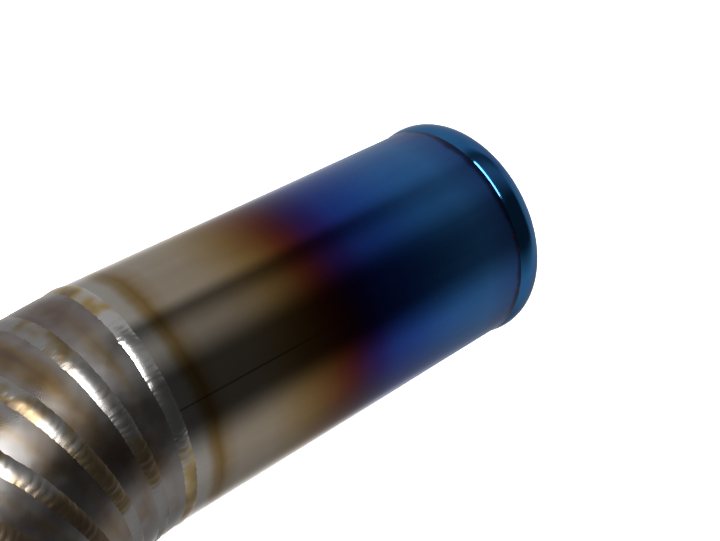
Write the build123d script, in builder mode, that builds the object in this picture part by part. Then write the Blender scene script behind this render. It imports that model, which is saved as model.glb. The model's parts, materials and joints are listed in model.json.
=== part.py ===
from build123d import *
import math
import os

# Motorcycle exhaust muffler: slip-on can with a pie-cut tail and a heat-coloured straight outlet.
#
# Frame, in millimetres: the origin is the centre of the inlet mouth, +X runs along the can from the
# inlet towards the tail, the tail bends through 45 degrees towards -Y, and +Z is up.

# ---- Tail pipe -----------------------------------------------------------------------------
TUBE_RADIUS = 30.0
TUBE_WALL = 1.2
OUTLET_LENGTH = 106.5
WEDGE_COUNT = 5
WEDGE_ANGLE = 9.0
BEND_RADIUS = 75.0

# ---- Weld beads ----------------------------------------------------------------------------
BEAD_WIDTH = 5.1
BEAD_HEIGHT = 0.7
BEAD_DEPTH = 0.6
SMALL_BEAD_WIDTH = 4.0

# ---- Outlet end ring -----------------------------------------------------------------------
LIP_ARC_RADIUS = 6.7
LIP_PROUD = 0.65
LIP_CENTRE_AHEAD = 3.4
LIP_ARC_MIDDLE = 30.0
LIP_SPIGOT_WALL = 3.8
LIP_SPIGOT_LENGTH = 24.0
LIP_BORE_FILLET = 1.2

# ---- Removable noise baffle ----------------------------------------------------------------
BAFFLE_GAP = 0.3
BAFFLE_COLLAR_WALL = 2.0
BAFFLE_COLLAR_LENGTH = 26.0
BAFFLE_RECESS = 4.0
BAFFLE_TUBE_RADIUS = 14.0
BAFFLE_TUBE_WALL = 1.2
BAFFLE_TUBE_LENGTH = 74.0
BAFFLE_PLATE = 2.0
BAFFLE_HOLE_RADIUS = 2.2
BAFFLE_HOLE_ROWS = 7
BAFFLE_HOLES_PER_ROW = 8

# ---- Baffle screw on the underside of the outlet -------------------------------------------
SCREW_SETBACK = 12.0
SCREW_RADIUS = 3.0
SCREW_BOSS_RADIUS = 7.0
SCREW_BOSS_HEIGHT = 6.0
SCREW_HEAD_RADIUS = 5.0
SCREW_HEAD_HEIGHT = 3.3
SCREW_TIP_GAP = 0.4
SCREW_SOCKET_FLATS = 4.0
SCREW_SOCKET_DEPTH = 2.0

# ---- Can and cones -------------------------------------------------------------------------
CAN_RADIUS = 50.0
CAN_WALL = 1.0
CAN_LENGTH = 180.0
CONE_WALL = 1.2
CONE_SPIGOT = 12.0
FRONT_CONE_LENGTH = 40.0
REAR_CONE_LENGTH = 45.0
FRONT_NECK_LENGTH = 10.0
REAR_STUB_LENGTH = 20.0

# ---- Inlet ---------------------------------------------------------------------------------
PIPE_BORE_RADIUS = 25.6
GASKET_WALL = 1.6
GASKET_LENGTH = 34.0
SLEEVE_WALL = 1.5
SLEEVE_LENGTH = 50.0
SLEEVE_OVERLAP = 10.0
SLOT_COUNT = 4
SLOT_WIDTH = 2.4
SLOT_LENGTH = 30.0

# ---- Inlet clamp ---------------------------------------------------------------------------
CLAMP_START = 6.0
CLAMP_WIDTH = 20.0
CLAMP_WALL = 1.6
CLAMP_EAR_HEIGHT = 17.0
CLAMP_EAR_GAP = 9.0
CLAMP_BOLT_FROM_TIP = 8.5

# ---- Perforated core and packing -----------------------------------------------------------
CORE_WALL = 1.2
CORE_HOLE_RADIUS = 2.5
CORE_HOLES_PER_ROW = 10
CORE_HOLE_ROWS = 14
CORE_COLLAR_WALL = 2.0
CORE_COLLAR_LENGTH = 6.0
WOOL_THICKNESS = 6.0
WOOL_SETBACK = 3.2
PACKING_GAP = 0.4
PACKING_SETBACK = 2.0

# ---- Hanger strap --------------------------------------------------------------------------
STRAP_FROM_CAN_START = 90.0
STRAP_WIDTH = 30.0
STRAP_WALL = 1.5
STRAP_LINER = 2.0
STRAP_EAR_HEIGHT = 22.0
STRAP_EAR_GAP = 10.0
STRAP_BOLT_FROM_TIP = 10.0
STRAP_SPACER_WALL = 2.5
HANGER_THICKNESS = 4.0
HANGER_FOOT_RADIUS = 10.5
HANGER_HEAD_RADIUS = 16.0
HANGER_RISE = 34.0
BUSH_RADIUS = 11.0
BUSH_FLANGE_RADIUS = 14.0
BUSH_FLANGE = 3.0
BUSH_SLEEVE_WALL = 1.8
BUSH_SLEEVE_PROUD = 0.5
HANGER_BORE_RADIUS = 4.2

# ---- Shared fastener sizes (M8 hexagon) ----------------------------------------------------
BOLT_RADIUS = 4.0
BOLT_HOLE_CLEARANCE = 0.3
HEX_FLATS = 13.0
BOLT_HEAD = 5.3
NUT_HEIGHT = 6.5
WASHER_RADIUS = 8.0
WASHER_THICKNESS = 1.6
THREAD_END_CHAMFER = 0.8
THREAD_CLEARANCE = 0.05
THREAD_SHOWING = 2.0

# ---- Places that follow from the sizes -----------------------------------------------------
TUBE_INNER = TUBE_RADIUS - TUBE_WALL
LIP_BORE_RADIUS = TUBE_INNER - LIP_SPIGOT_WALL
BOLT_HOLE_RADIUS = BOLT_RADIUS + BOLT_HOLE_CLEARANCE
SLEEVE_INNER = PIPE_BORE_RADIUS + GASKET_WALL
SLEEVE_RADIUS = SLEEVE_INNER + SLEEVE_WALL
NECK_START = SLEEVE_LENGTH - SLEEVE_OVERLAP
NECK_RADIUS = SLEEVE_INNER
NECK_INNER = NECK_RADIUS - CONE_WALL
CORE_RADIUS = min(NECK_INNER, TUBE_INNER) - CORE_COLLAR_WALL
FRONT_CONE_START = SLEEVE_LENGTH + FRONT_NECK_LENGTH
CAN_START = FRONT_CONE_START + FRONT_CONE_LENGTH
CAN_END = CAN_START + CAN_LENGTH
CAN_INNER = CAN_RADIUS - CAN_WALL
REAR_STUB_START = CAN_END + REAR_CONE_LENGTH
BEND_START = REAR_STUB_START + REAR_STUB_LENGTH
VERTEX_RADIUS = BEND_RADIUS / math.cos(math.radians(WEDGE_ANGLE / 2))
BEND_ANGLE = WEDGE_COUNT * WEDGE_ANGLE
CORE_START = FRONT_CONE_START - CORE_COLLAR_LENGTH
CORE_END = REAR_STUB_START + REAR_STUB_LENGTH / 2
STRAP_X = CAN_START + STRAP_FROM_CAN_START


def bend_vertex(angle):
    """Point where the tail's centre line crosses the joint plane at this bend angle."""
    turn = math.radians(angle)
    return Vector(
        BEND_START + VERTEX_RADIUS * math.sin(turn),
        VERTEX_RADIUS * (math.cos(turn) - 1),
        0,
    )


def bend_direction(angle):
    """Unit vector along the tail at this bend angle."""
    turn = math.radians(angle)
    return Vector(math.cos(turn), -math.sin(turn), 0)


def across(origin, along):
    """Plane square to a horizontal axis, with its own y axis pointing up."""
    return Plane(origin=origin, x_dir=along.cross(Vector(0, 0, 1)) * -1, z_dir=along)


def lengthwise(origin, along):
    """Plane that holds a horizontal axis (as x) and the upward direction (as y)."""
    return Plane(origin=origin, x_dir=along, z_dir=along.cross(Vector(0, 0, 1)))


def save(piece, name):
    """Label a finished piece and write its STEP file."""
    piece.part.label = name
    export_step(piece.part, f"parts/{name}.step")


def make_tube(plane, outer, inner, length):
    """Plain tube that starts on the plane and runs along its normal."""
    with BuildPart() as tube:
        with BuildSketch(plane):
            Circle(outer)
            Circle(inner, mode=Mode.SUBTRACT)
        extrude(amount=length)
    return tube


def make_perforated_tube(plane, outer, inner, length, rows, holes_per_row, hole_radius):
    """Tube with staggered rows of round holes, evenly spaced along it."""
    pitch = length / (rows + 1)
    with BuildPart() as tube:
        with BuildSketch(plane):
            Circle(outer)
            Circle(inner, mode=Mode.SUBTRACT)
        extrude(amount=length)
        for row in range(rows):
            first_turn = (row % 2) * 180 / holes_per_row
            with Locations(plane.offset((row + 1) * pitch)):
                with PolarLocations(0, holes_per_row, start_angle=first_turn):
                    Cylinder(
                        hole_radius,
                        2 * outer,
                        rotation=(0, 90, 0),
                        align=(Align.CENTER, Align.CENTER, Align.MIN),
                        mode=Mode.SUBTRACT,
                    )
    return tube


def make_bead(origin, along, radius, width):
    """Round weld bead that sits half in the surface of a tube of this radius."""
    half = width / 2
    with BuildPart() as bead:
        with BuildSketch(lengthwise(origin, along)):
            with BuildLine():
                Polyline(
                    (-half, radius),
                    (-half, radius - BEAD_DEPTH),
                    (half, radius - BEAD_DEPTH),
                    (half, radius),
                )
                ThreePointArc((half, radius), (0, radius + BEAD_HEIGHT), (-half, radius))
            make_face()
        revolve(axis=Axis(origin, along))
    return bead


def make_hex_bolt(plane, length):
    """Hexagon bolt: the head stands behind the plane and the shank runs along its normal."""
    with BuildPart() as bolt:
        with BuildSketch(plane):
            RegularPolygon(HEX_FLATS / 2, 6, major_radius=False)
        extrude(amount=-BOLT_HEAD)
        with BuildSketch(plane):
            Circle(BOLT_RADIUS)
        extrude(amount=length)
        tip = bolt.faces().filter_by(GeomType.PLANE).sort_by(Axis(plane.origin, plane.z_dir))[-1]
        chamfer(tip.edges(), length=THREAD_END_CHAMFER)
    return bolt


def make_hex_nut(plane):
    """Hexagon nut that starts on the plane and runs along its normal."""
    with BuildPart() as nut:
        with BuildSketch(plane):
            RegularPolygon(HEX_FLATS / 2, 6, major_radius=False)
            Circle(BOLT_RADIUS + THREAD_CLEARANCE, mode=Mode.SUBTRACT)
        extrude(amount=NUT_HEIGHT)
    return nut


def make_washers(planes):
    """Group of equal flat washers, each starting on its plane."""
    with BuildPart() as washers:
        with BuildSketch(*planes):
            Circle(WASHER_RADIUS)
            Circle(BOLT_HOLE_RADIUS, mode=Mode.SUBTRACT)
        extrude(amount=WASHER_THICKNESS)
    return washers


os.makedirs("parts", exist_ok=True)

X_AXIS = Vector(1, 0, 0)
OUTLET_AXIS = bend_direction(BEND_ANGLE)
OUTLET_START = bend_vertex(BEND_ANGLE)
OUTLET_END = OUTLET_START + OUTLET_AXIS * OUTLET_LENGTH


def on_x(x):
    """Plane square to the can's axis at this distance from the inlet mouth."""
    return across(Vector(x, 0, 0), X_AXIS)


def on_outlet(ahead):
    """Plane square to the outlet at this distance past the end of its tube."""
    return across(OUTLET_END + OUTLET_AXIS * ahead, OUTLET_AXIS)


# ---- Weld beads of the pie-cut bend, one in each joint plane -------------------------------
bend_beads = []
for joint in range(WEDGE_COUNT + 1):
    joint_angle = joint * WEDGE_ANGLE
    joint_bead = make_bead(
        bend_vertex(joint_angle), bend_direction(joint_angle), TUBE_RADIUS, BEAD_WIDTH
    )
    bend_beads.append(joint_bead)
    save(joint_bead, f"bend_weld_{joint + 1}")

# ---- Pie-cut wedges ------------------------------------------------------------------------
for wedge in range(WEDGE_COUNT):
    near_angle = wedge * WEDGE_ANGLE
    far_angle = near_angle + WEDGE_ANGLE
    middle = (bend_vertex(near_angle) + bend_vertex(far_angle)) * 0.5
    chord = bend_direction((near_angle + far_angle) / 2)
    blank_half = (VERTEX_RADIUS + TUBE_RADIUS) * math.radians(WEDGE_ANGLE)
    with BuildPart() as pie_segment:
        with BuildSketch(across(middle, chord)):
            Circle(TUBE_RADIUS)
            Circle(TUBE_INNER, mode=Mode.SUBTRACT)
        extrude(amount=blank_half, both=True)
        split(bisect_by=across(bend_vertex(near_angle), bend_direction(near_angle)), keep=Keep.TOP)
        split(bisect_by=across(bend_vertex(far_angle), bend_direction(far_angle)), keep=Keep.BOTTOM)
        add(bend_beads[wedge].part, mode=Mode.SUBTRACT)
        add(bend_beads[wedge + 1].part, mode=Mode.SUBTRACT)
    save(pie_segment, f"pie_segment_{wedge + 1}")

# ---- Baffle screw and its boss, both pointing up into the outlet's underside ---------------
screw_centre = OUTLET_END - OUTLET_AXIS * SCREW_SETBACK
boss_face = Plane(
    origin=screw_centre - Vector(0, 0, TUBE_RADIUS + SCREW_BOSS_HEIGHT),
    x_dir=OUTLET_AXIS,
    z_dir=(0, 0, 1),
)
collar_radius = LIP_BORE_RADIUS - BAFFLE_GAP

with BuildPart() as screw_hole:
    with BuildSketch(boss_face):
        Circle(SCREW_RADIUS + THREAD_CLEARANCE)
    extrude(amount=TUBE_RADIUS + SCREW_BOSS_HEIGHT - collar_radius)

with BuildPart() as outlet_solid:
    with BuildSketch(across(OUTLET_START, OUTLET_AXIS)):
        Circle(TUBE_RADIUS)
    extrude(amount=OUTLET_LENGTH)

with BuildPart() as screw_boss:
    with BuildSketch(boss_face):
        Circle(SCREW_BOSS_RADIUS)
    extrude(amount=TUBE_RADIUS)
    add(outlet_solid.part, mode=Mode.SUBTRACT)
    add(screw_hole.part, mode=Mode.SUBTRACT)
save(screw_boss, "screw_boss")

with BuildPart() as baffle_screw:
    with BuildSketch(boss_face):
        Circle(SCREW_RADIUS)
    extrude(amount=TUBE_RADIUS + SCREW_BOSS_HEIGHT - collar_radius - SCREW_TIP_GAP)
    with BuildSketch(boss_face):
        Circle(SCREW_HEAD_RADIUS)
    extrude(amount=-SCREW_HEAD_HEIGHT)
    fillet(baffle_screw.edges().filter_by(GeomType.CIRCLE).group_by(Axis.Z)[0], radius=1.2)
    with BuildSketch(boss_face.offset(-SCREW_HEAD_HEIGHT)):
        RegularPolygon(SCREW_SOCKET_FLATS / 2, 6, major_radius=False)
    extrude(amount=SCREW_SOCKET_DEPTH, mode=Mode.SUBTRACT)
save(baffle_screw, "baffle_screw")

# ---- Straight outlet tube and its bull-nosed end ring --------------------------------------
with BuildPart() as outlet_tube:
    with BuildSketch(across(OUTLET_START, OUTLET_AXIS)):
        Circle(TUBE_RADIUS)
        Circle(TUBE_INNER, mode=Mode.SUBTRACT)
    extrude(amount=OUTLET_LENGTH)
    add(bend_beads[-1].part, mode=Mode.SUBTRACT)
    add(screw_hole.part, mode=Mode.SUBTRACT)
save(outlet_tube, "outlet_tube")

lip_centre_radius = TUBE_RADIUS + LIP_PROUD - LIP_ARC_RADIUS
lip_foot = math.sqrt(LIP_ARC_RADIUS**2 - LIP_CENTRE_AHEAD**2)
lip_bore_rise = math.sqrt(LIP_ARC_RADIUS**2 - (LIP_BORE_RADIUS - lip_centre_radius) ** 2)
lip_front = LIP_CENTRE_AHEAD + lip_bore_rise
with BuildPart() as outlet_ring:
    with BuildSketch(lengthwise(OUTLET_END, OUTLET_AXIS)):
        with BuildLine():
            Polyline(
                (lip_front, LIP_BORE_RADIUS),
                (-LIP_SPIGOT_LENGTH, LIP_BORE_RADIUS),
                (-LIP_SPIGOT_LENGTH, TUBE_INNER),
                (0, TUBE_INNER),
                (0, lip_centre_radius + lip_foot),
            )
            ThreePointArc(
                (0, lip_centre_radius + lip_foot),
                (
                    LIP_CENTRE_AHEAD + LIP_ARC_RADIUS * math.sin(math.radians(LIP_ARC_MIDDLE)),
                    lip_centre_radius + LIP_ARC_RADIUS * math.cos(math.radians(LIP_ARC_MIDDLE)),
                ),
                (lip_front, LIP_BORE_RADIUS),
            )
        make_face()
    revolve(axis=Axis(OUTLET_END, OUTLET_AXIS))
    mouth_edge = outlet_ring.edges().filter_by(GeomType.CIRCLE).sort_by(Axis(OUTLET_END, OUTLET_AXIS))[-1]
    fillet(mouth_edge, radius=LIP_BORE_FILLET)
    add(screw_hole.part, mode=Mode.SUBTRACT)
save(outlet_ring, "outlet_ring")

# ---- Removable noise baffle: collar, plate, perforated tube and end cap --------------------
collar_front = lip_front - BAFFLE_RECESS
collar_inner = collar_radius - BAFFLE_COLLAR_WALL
plate_back = collar_front - BAFFLE_COLLAR_LENGTH
save(
    make_tube(on_outlet(plate_back), collar_radius, collar_inner, BAFFLE_COLLAR_LENGTH),
    "baffle_collar",
)
save(
    make_tube(on_outlet(plate_back), collar_inner, BAFFLE_TUBE_RADIUS, BAFFLE_PLATE),
    "baffle_plate",
)
baffle_tube_front = plate_back + BAFFLE_PLATE
baffle_tube_plane = on_outlet(baffle_tube_front - BAFFLE_TUBE_LENGTH)
baffle_tube = make_perforated_tube(
    baffle_tube_plane,
    BAFFLE_TUBE_RADIUS,
    BAFFLE_TUBE_RADIUS - BAFFLE_TUBE_WALL,
    BAFFLE_TUBE_LENGTH,
    BAFFLE_HOLE_ROWS,
    BAFFLE_HOLES_PER_ROW,
    BAFFLE_HOLE_RADIUS,
)
save(baffle_tube, "baffle_tube")

with BuildPart() as baffle_cap:
    with BuildSketch(baffle_tube_plane):
        Circle(BAFFLE_TUBE_RADIUS)
    extrude(amount=-BAFFLE_PLATE)
save(baffle_cap, "baffle_cap")

# ---- Rear cone with its stub, spigot in the can --------------------------------------------
can_front_bead = make_bead(Vector(CAN_START, 0, 0), X_AXIS, CAN_RADIUS, SMALL_BEAD_WIDTH)
can_rear_bead = make_bead(Vector(CAN_END, 0, 0), X_AXIS, CAN_RADIUS, SMALL_BEAD_WIDTH)
save(can_front_bead, "can_front_weld")
save(can_rear_bead, "can_rear_weld")

with BuildPart() as rear_cone:
    with BuildSketch(lengthwise(Vector(0, 0, 0), X_AXIS)):
        with BuildLine():
            Polyline(
                (CAN_END - CONE_SPIGOT, CAN_INNER),
                (CAN_END, CAN_INNER),
                (REAR_STUB_START, TUBE_RADIUS),
                (BEND_START, TUBE_RADIUS),
                (BEND_START, TUBE_INNER),
                (REAR_STUB_START, TUBE_INNER),
                (CAN_END, CAN_INNER - CONE_WALL),
                (CAN_END - CONE_SPIGOT, CAN_INNER - CONE_WALL),
                close=True,
            )
        make_face()
    revolve(axis=Axis.X)
    add(bend_beads[0].part, mode=Mode.SUBTRACT)
    add(can_rear_bead.part, mode=Mode.SUBTRACT)
save(rear_cone, "rear_cone")

# ---- Can shell -----------------------------------------------------------------------------
with BuildPart() as can_shell:
    with BuildSketch(on_x(CAN_START)):
        Circle(CAN_RADIUS)
        Circle(CAN_INNER, mode=Mode.SUBTRACT)
    extrude(amount=CAN_LENGTH)
    add(can_front_bead.part, mode=Mode.SUBTRACT)
    add(can_rear_bead.part, mode=Mode.SUBTRACT)
save(can_shell, "can_shell")

# ---- Front cone with its neck in the inlet sleeve ------------------------------------------
inlet_bead = make_bead(Vector(SLEEVE_LENGTH, 0, 0), X_AXIS, NECK_RADIUS + SLEEVE_WALL / 2, SMALL_BEAD_WIDTH)
save(inlet_bead, "inlet_weld")

with BuildPart() as front_cone:
    with BuildSketch(lengthwise(Vector(0, 0, 0), X_AXIS)):
        with BuildLine():
            Polyline(
                (NECK_START, NECK_RADIUS),
                (FRONT_CONE_START, NECK_RADIUS),
                (CAN_START, CAN_INNER),
                (CAN_START + CONE_SPIGOT, CAN_INNER),
                (CAN_START + CONE_SPIGOT, CAN_INNER - CONE_WALL),
                (CAN_START, CAN_INNER - CONE_WALL),
                (FRONT_CONE_START, NECK_INNER),
                (NECK_START, NECK_INNER),
                close=True,
            )
        make_face()
    revolve(axis=Axis.X)
    add(inlet_bead.part, mode=Mode.SUBTRACT)
    add(can_front_bead.part, mode=Mode.SUBTRACT)
save(front_cone, "front_cone")

# ---- Slotted inlet sleeve and its graphite gasket ------------------------------------------
with BuildPart() as inlet_sleeve:
    with BuildSketch(on_x(0)):
        Circle(SLEEVE_RADIUS)
        Circle(SLEEVE_INNER, mode=Mode.SUBTRACT)
    extrude(amount=SLEEVE_LENGTH)
    with BuildSketch(on_x(0)):
        with PolarLocations(SLEEVE_RADIUS, SLOT_COUNT, start_angle=180 / SLOT_COUNT):
            Rectangle(4 * SLEEVE_WALL, SLOT_WIDTH)
    extrude(amount=SLOT_LENGTH, mode=Mode.SUBTRACT)
    add(inlet_bead.part, mode=Mode.SUBTRACT)
save(inlet_sleeve, "inlet_sleeve")
save(make_tube(on_x(0), SLEEVE_INNER, PIPE_BORE_RADIUS, GASKET_LENGTH), "inlet_gasket")



# ---- Perforated core, its collars, and the packing -----------------------------------------
core_inner = CORE_RADIUS - CORE_WALL
core_tube = make_perforated_tube(
    on_x(CORE_START),
    CORE_RADIUS,
    core_inner,
    CORE_END - CORE_START,
    CORE_HOLE_ROWS,
    CORE_HOLES_PER_ROW,
    CORE_HOLE_RADIUS,
)
save(core_tube, "core_tube")
save(
    make_tube(on_x(CORE_START), NECK_INNER, CORE_RADIUS, CORE_COLLAR_LENGTH),
    "core_front_collar",
)
save(
    make_tube(on_x(CORE_END - CORE_COLLAR_LENGTH), TUBE_INNER, CORE_RADIUS, CORE_COLLAR_LENGTH),
    "core_rear_collar",
)
wool_radius = CORE_RADIUS + PACKING_GAP + WOOL_THICKNESS
spigot_inner = CAN_INNER - CONE_WALL
front_share = (wool_radius + PACKING_GAP - NECK_INNER) / (spigot_inner - NECK_INNER)
rear_share = (wool_radius + PACKING_GAP - TUBE_INNER) / (spigot_inner - TUBE_INNER)
wool_start = FRONT_CONE_START + front_share * FRONT_CONE_LENGTH + WOOL_SETBACK
wool_end = REAR_STUB_START - rear_share * REAR_CONE_LENGTH - WOOL_SETBACK
save(
    make_tube(
        on_x(wool_start),
        wool_radius,
        CORE_RADIUS + PACKING_GAP,
        wool_end - wool_start,
    ),
    "steel_wool",
)
save(
    make_tube(
        on_x(CAN_START + PACKING_SETBACK),
        spigot_inner - PACKING_GAP,
        wool_radius + PACKING_GAP,
        CAN_LENGTH - 2 * PACKING_SETBACK,
    ),
    "packing",
)


def across_y(x, y, z):
    """Plane whose normal is +Y, through this point."""
    return Plane(origin=(x, y, z), x_dir=(1, 0, 0), z_dir=(0, 1, 0))


def make_band(start, width, inner, wall, gap, ear_height, ear_hole_z, side):
    """Open band round the can's axis with two parallel ears, above (side 1) or below (side -1)."""
    ear_top = inner + wall + ear_height
    with BuildPart() as band:
        with BuildSketch(on_x(start)):
            Circle(inner + wall)
            with Locations((0, side * ear_top / 2)):
                Rectangle(gap + 2 * wall, ear_top)
            Circle(inner, mode=Mode.SUBTRACT)
            with Locations((0, side * ear_top / 2)):
                Rectangle(gap, ear_top, mode=Mode.SUBTRACT)
        extrude(amount=width)
        with BuildSketch(across_y(start + width / 2, 0, ear_hole_z)):
            Circle(BOLT_HOLE_RADIUS)
        extrude(amount=gap + 2 * wall, both=True, mode=Mode.SUBTRACT)
    return band


def save_bolt_set(name, x, z, low, high):
    """Bolt, nut and two washers that hold a stack of plates between these two y values."""
    bolt_length = high - low + 2 * WASHER_THICKNESS + NUT_HEIGHT + THREAD_SHOWING
    head_seat = low - WASHER_THICKNESS
    nut_seat = high + WASHER_THICKNESS
    save(make_hex_bolt(across_y(x, head_seat, z), bolt_length), f"{name}_bolt")
    save(make_hex_nut(across_y(x, nut_seat, z)), f"{name}_nut")
    save(make_washers([across_y(x, head_seat, z), across_y(x, high, z)]), f"{name}_washers")


# ---- Pinch clamp on the inlet sleeve -------------------------------------------------------
clamp_bolt_z = -(SLEEVE_RADIUS + CLAMP_WALL + CLAMP_EAR_HEIGHT - CLAMP_BOLT_FROM_TIP)
clamp_ear_face = CLAMP_EAR_GAP / 2 + CLAMP_WALL
clamp_band = make_band(
    CLAMP_START,
    CLAMP_WIDTH,
    SLEEVE_RADIUS,
    CLAMP_WALL,
    CLAMP_EAR_GAP,
    CLAMP_EAR_HEIGHT,
    clamp_bolt_z,
    -1,
)
save(clamp_band, "clamp_band")
save_bolt_set("clamp", CLAMP_START + CLAMP_WIDTH / 2, clamp_bolt_z, -clamp_ear_face, clamp_ear_face)

# ---- Strap round the can, with its rubber liner --------------------------------------------
strap_inner = CAN_RADIUS + STRAP_LINER
strap_bolt_z = strap_inner + STRAP_WALL + STRAP_EAR_HEIGHT - STRAP_BOLT_FROM_TIP
strap_ear_face = STRAP_EAR_GAP / 2 + STRAP_WALL
strap_band = make_band(
    STRAP_X - STRAP_WIDTH / 2,
    STRAP_WIDTH,
    strap_inner,
    STRAP_WALL,
    STRAP_EAR_GAP,
    STRAP_EAR_HEIGHT,
    strap_bolt_z,
    1,
)
save(strap_band, "strap_band")

with BuildPart() as strap_liner:
    with BuildSketch(on_x(STRAP_X - STRAP_WIDTH / 2)):
        Circle(strap_inner)
        Circle(CAN_RADIUS, mode=Mode.SUBTRACT)
        with Locations((0, strap_inner / 2)):
            Rectangle(STRAP_EAR_GAP, strap_inner, mode=Mode.SUBTRACT)
    extrude(amount=STRAP_WIDTH)
save(strap_liner, "strap_liner")

spacer_start = across_y(STRAP_X, -STRAP_EAR_GAP / 2, strap_bolt_z)
save(
    make_tube(spacer_start, BOLT_HOLE_RADIUS + STRAP_SPACER_WALL, BOLT_HOLE_RADIUS, STRAP_EAR_GAP),
    "strap_spacer",
)
hanger_back = strap_ear_face + HANGER_THICKNESS
save_bolt_set("strap", STRAP_X, strap_bolt_z, -strap_ear_face, hanger_back)

# ---- Hanger plate with its rubber bush and steel sleeve ------------------------------------
hanger_bush_z = strap_bolt_z + HANGER_RISE
with BuildPart() as hanger_plate:
    with BuildSketch(across_y(STRAP_X, strap_ear_face, strap_bolt_z)):
        Circle(HANGER_FOOT_RADIUS)
        with Locations((0, -HANGER_RISE)):
            Circle(HANGER_HEAD_RADIUS)
        make_hull()
        Circle(BOLT_HOLE_RADIUS, mode=Mode.SUBTRACT)
        with Locations((0, -HANGER_RISE)):
            Circle(BUSH_RADIUS, mode=Mode.SUBTRACT)
    extrude(amount=HANGER_THICKNESS)
save(hanger_plate, "hanger_plate")

bush_bore = HANGER_BORE_RADIUS + BUSH_SLEEVE_WALL
with BuildPart() as hanger_bush:
    with BuildSketch(
        across_y(STRAP_X, strap_ear_face - BUSH_FLANGE, hanger_bush_z),
        across_y(STRAP_X, hanger_back, hanger_bush_z),
    ):
        Circle(BUSH_FLANGE_RADIUS)
        Circle(bush_bore, mode=Mode.SUBTRACT)
    extrude(amount=BUSH_FLANGE)
    with BuildSketch(across_y(STRAP_X, strap_ear_face, hanger_bush_z)):
        Circle(BUSH_RADIUS)
        Circle(bush_bore, mode=Mode.SUBTRACT)
    extrude(amount=HANGER_THICKNESS)
save(hanger_bush, "hanger_bush")

sleeve_low = strap_ear_face - BUSH_FLANGE - BUSH_SLEEVE_PROUD
sleeve_high = hanger_back + BUSH_FLANGE + BUSH_SLEEVE_PROUD
save(
    make_tube(
        across_y(STRAP_X, sleeve_low, hanger_bush_z),
        bush_bore,
        HANGER_BORE_RADIUS,
        sleeve_high - sleeve_low,
    ),
    "hanger_sleeve",
)
print(f"hanger bore: x {STRAP_X:.2f}, y {sleeve_low:.2f} to {sleeve_high:.2f}, z {hanger_bush_z:.2f}")
print(f"outlet axis: end of tube {OUTLET_END}, lip front {lip_front:.3f} further on")
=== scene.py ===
"""Motorcycle exhaust muffler with a heat-blued pie-cut tail: meshes, finishes and studio.

Everything is in metres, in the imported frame: +X runs along the can, the tail turns towards -Y, +Z is up.
"""

import json
import logging
import math
from collections.abc import Callable
from dataclasses import dataclass, field
from enum import Enum

import bpy
import bmesh
from mathutils import Matrix, Vector

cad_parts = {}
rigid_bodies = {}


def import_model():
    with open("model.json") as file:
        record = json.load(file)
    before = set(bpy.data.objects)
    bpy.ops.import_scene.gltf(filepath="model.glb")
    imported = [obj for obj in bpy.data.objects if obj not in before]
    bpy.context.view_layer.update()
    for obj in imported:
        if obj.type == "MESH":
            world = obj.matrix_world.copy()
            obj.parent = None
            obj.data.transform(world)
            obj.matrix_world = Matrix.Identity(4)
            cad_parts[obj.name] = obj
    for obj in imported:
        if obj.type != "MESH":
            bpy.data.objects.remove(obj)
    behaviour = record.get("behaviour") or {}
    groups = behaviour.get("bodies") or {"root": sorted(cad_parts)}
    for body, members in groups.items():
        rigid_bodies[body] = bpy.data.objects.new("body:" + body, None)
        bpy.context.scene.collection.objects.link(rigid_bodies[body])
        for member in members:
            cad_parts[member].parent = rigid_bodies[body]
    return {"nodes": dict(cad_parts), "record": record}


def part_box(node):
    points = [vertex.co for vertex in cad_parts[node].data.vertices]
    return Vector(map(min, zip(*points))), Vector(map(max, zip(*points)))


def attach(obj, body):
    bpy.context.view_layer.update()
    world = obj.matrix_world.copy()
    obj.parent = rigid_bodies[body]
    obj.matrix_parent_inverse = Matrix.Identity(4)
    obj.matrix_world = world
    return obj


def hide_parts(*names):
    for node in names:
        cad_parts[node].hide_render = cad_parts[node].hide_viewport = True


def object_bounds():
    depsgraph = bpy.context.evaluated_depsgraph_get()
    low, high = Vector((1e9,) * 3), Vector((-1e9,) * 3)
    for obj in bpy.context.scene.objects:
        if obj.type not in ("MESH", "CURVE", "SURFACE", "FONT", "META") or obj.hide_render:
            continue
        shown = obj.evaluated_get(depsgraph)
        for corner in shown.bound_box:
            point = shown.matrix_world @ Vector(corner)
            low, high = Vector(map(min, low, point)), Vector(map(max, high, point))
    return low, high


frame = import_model()
CAD_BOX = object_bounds()

LOG = logging.getLogger("muffler")
MM = 0.001
UP = Vector((0.0, 0.0, 1.0))
ROOT = "root"

# Sockets of a Mix node that mixes colours, which share their names with its other kinds.
MIX_FIRST, MIX_SECOND, MIX_RESULT = 6, 7, 2

Colour = tuple[float, float, float]
Loop = list[tuple[float, float]]
Outline = Loop | Callable[[float], Loop]
Facts = dict[str, Callable[[Vector], float]]


def placed(x_axis: Vector, y_axis: Vector, z_axis: Vector, origin: Vector) -> Matrix:
    """Returns the transform that takes the three axes and the origin to these."""
    rows = [(x_axis[k], y_axis[k], z_axis[k], origin[k]) for k in range(3)]
    return Matrix((*rows, (0.0, 0.0, 0.0, 1.0)))


# ---------------------------------------------------------------------------------------------
# Shader graphs
# ---------------------------------------------------------------------------------------------


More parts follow.
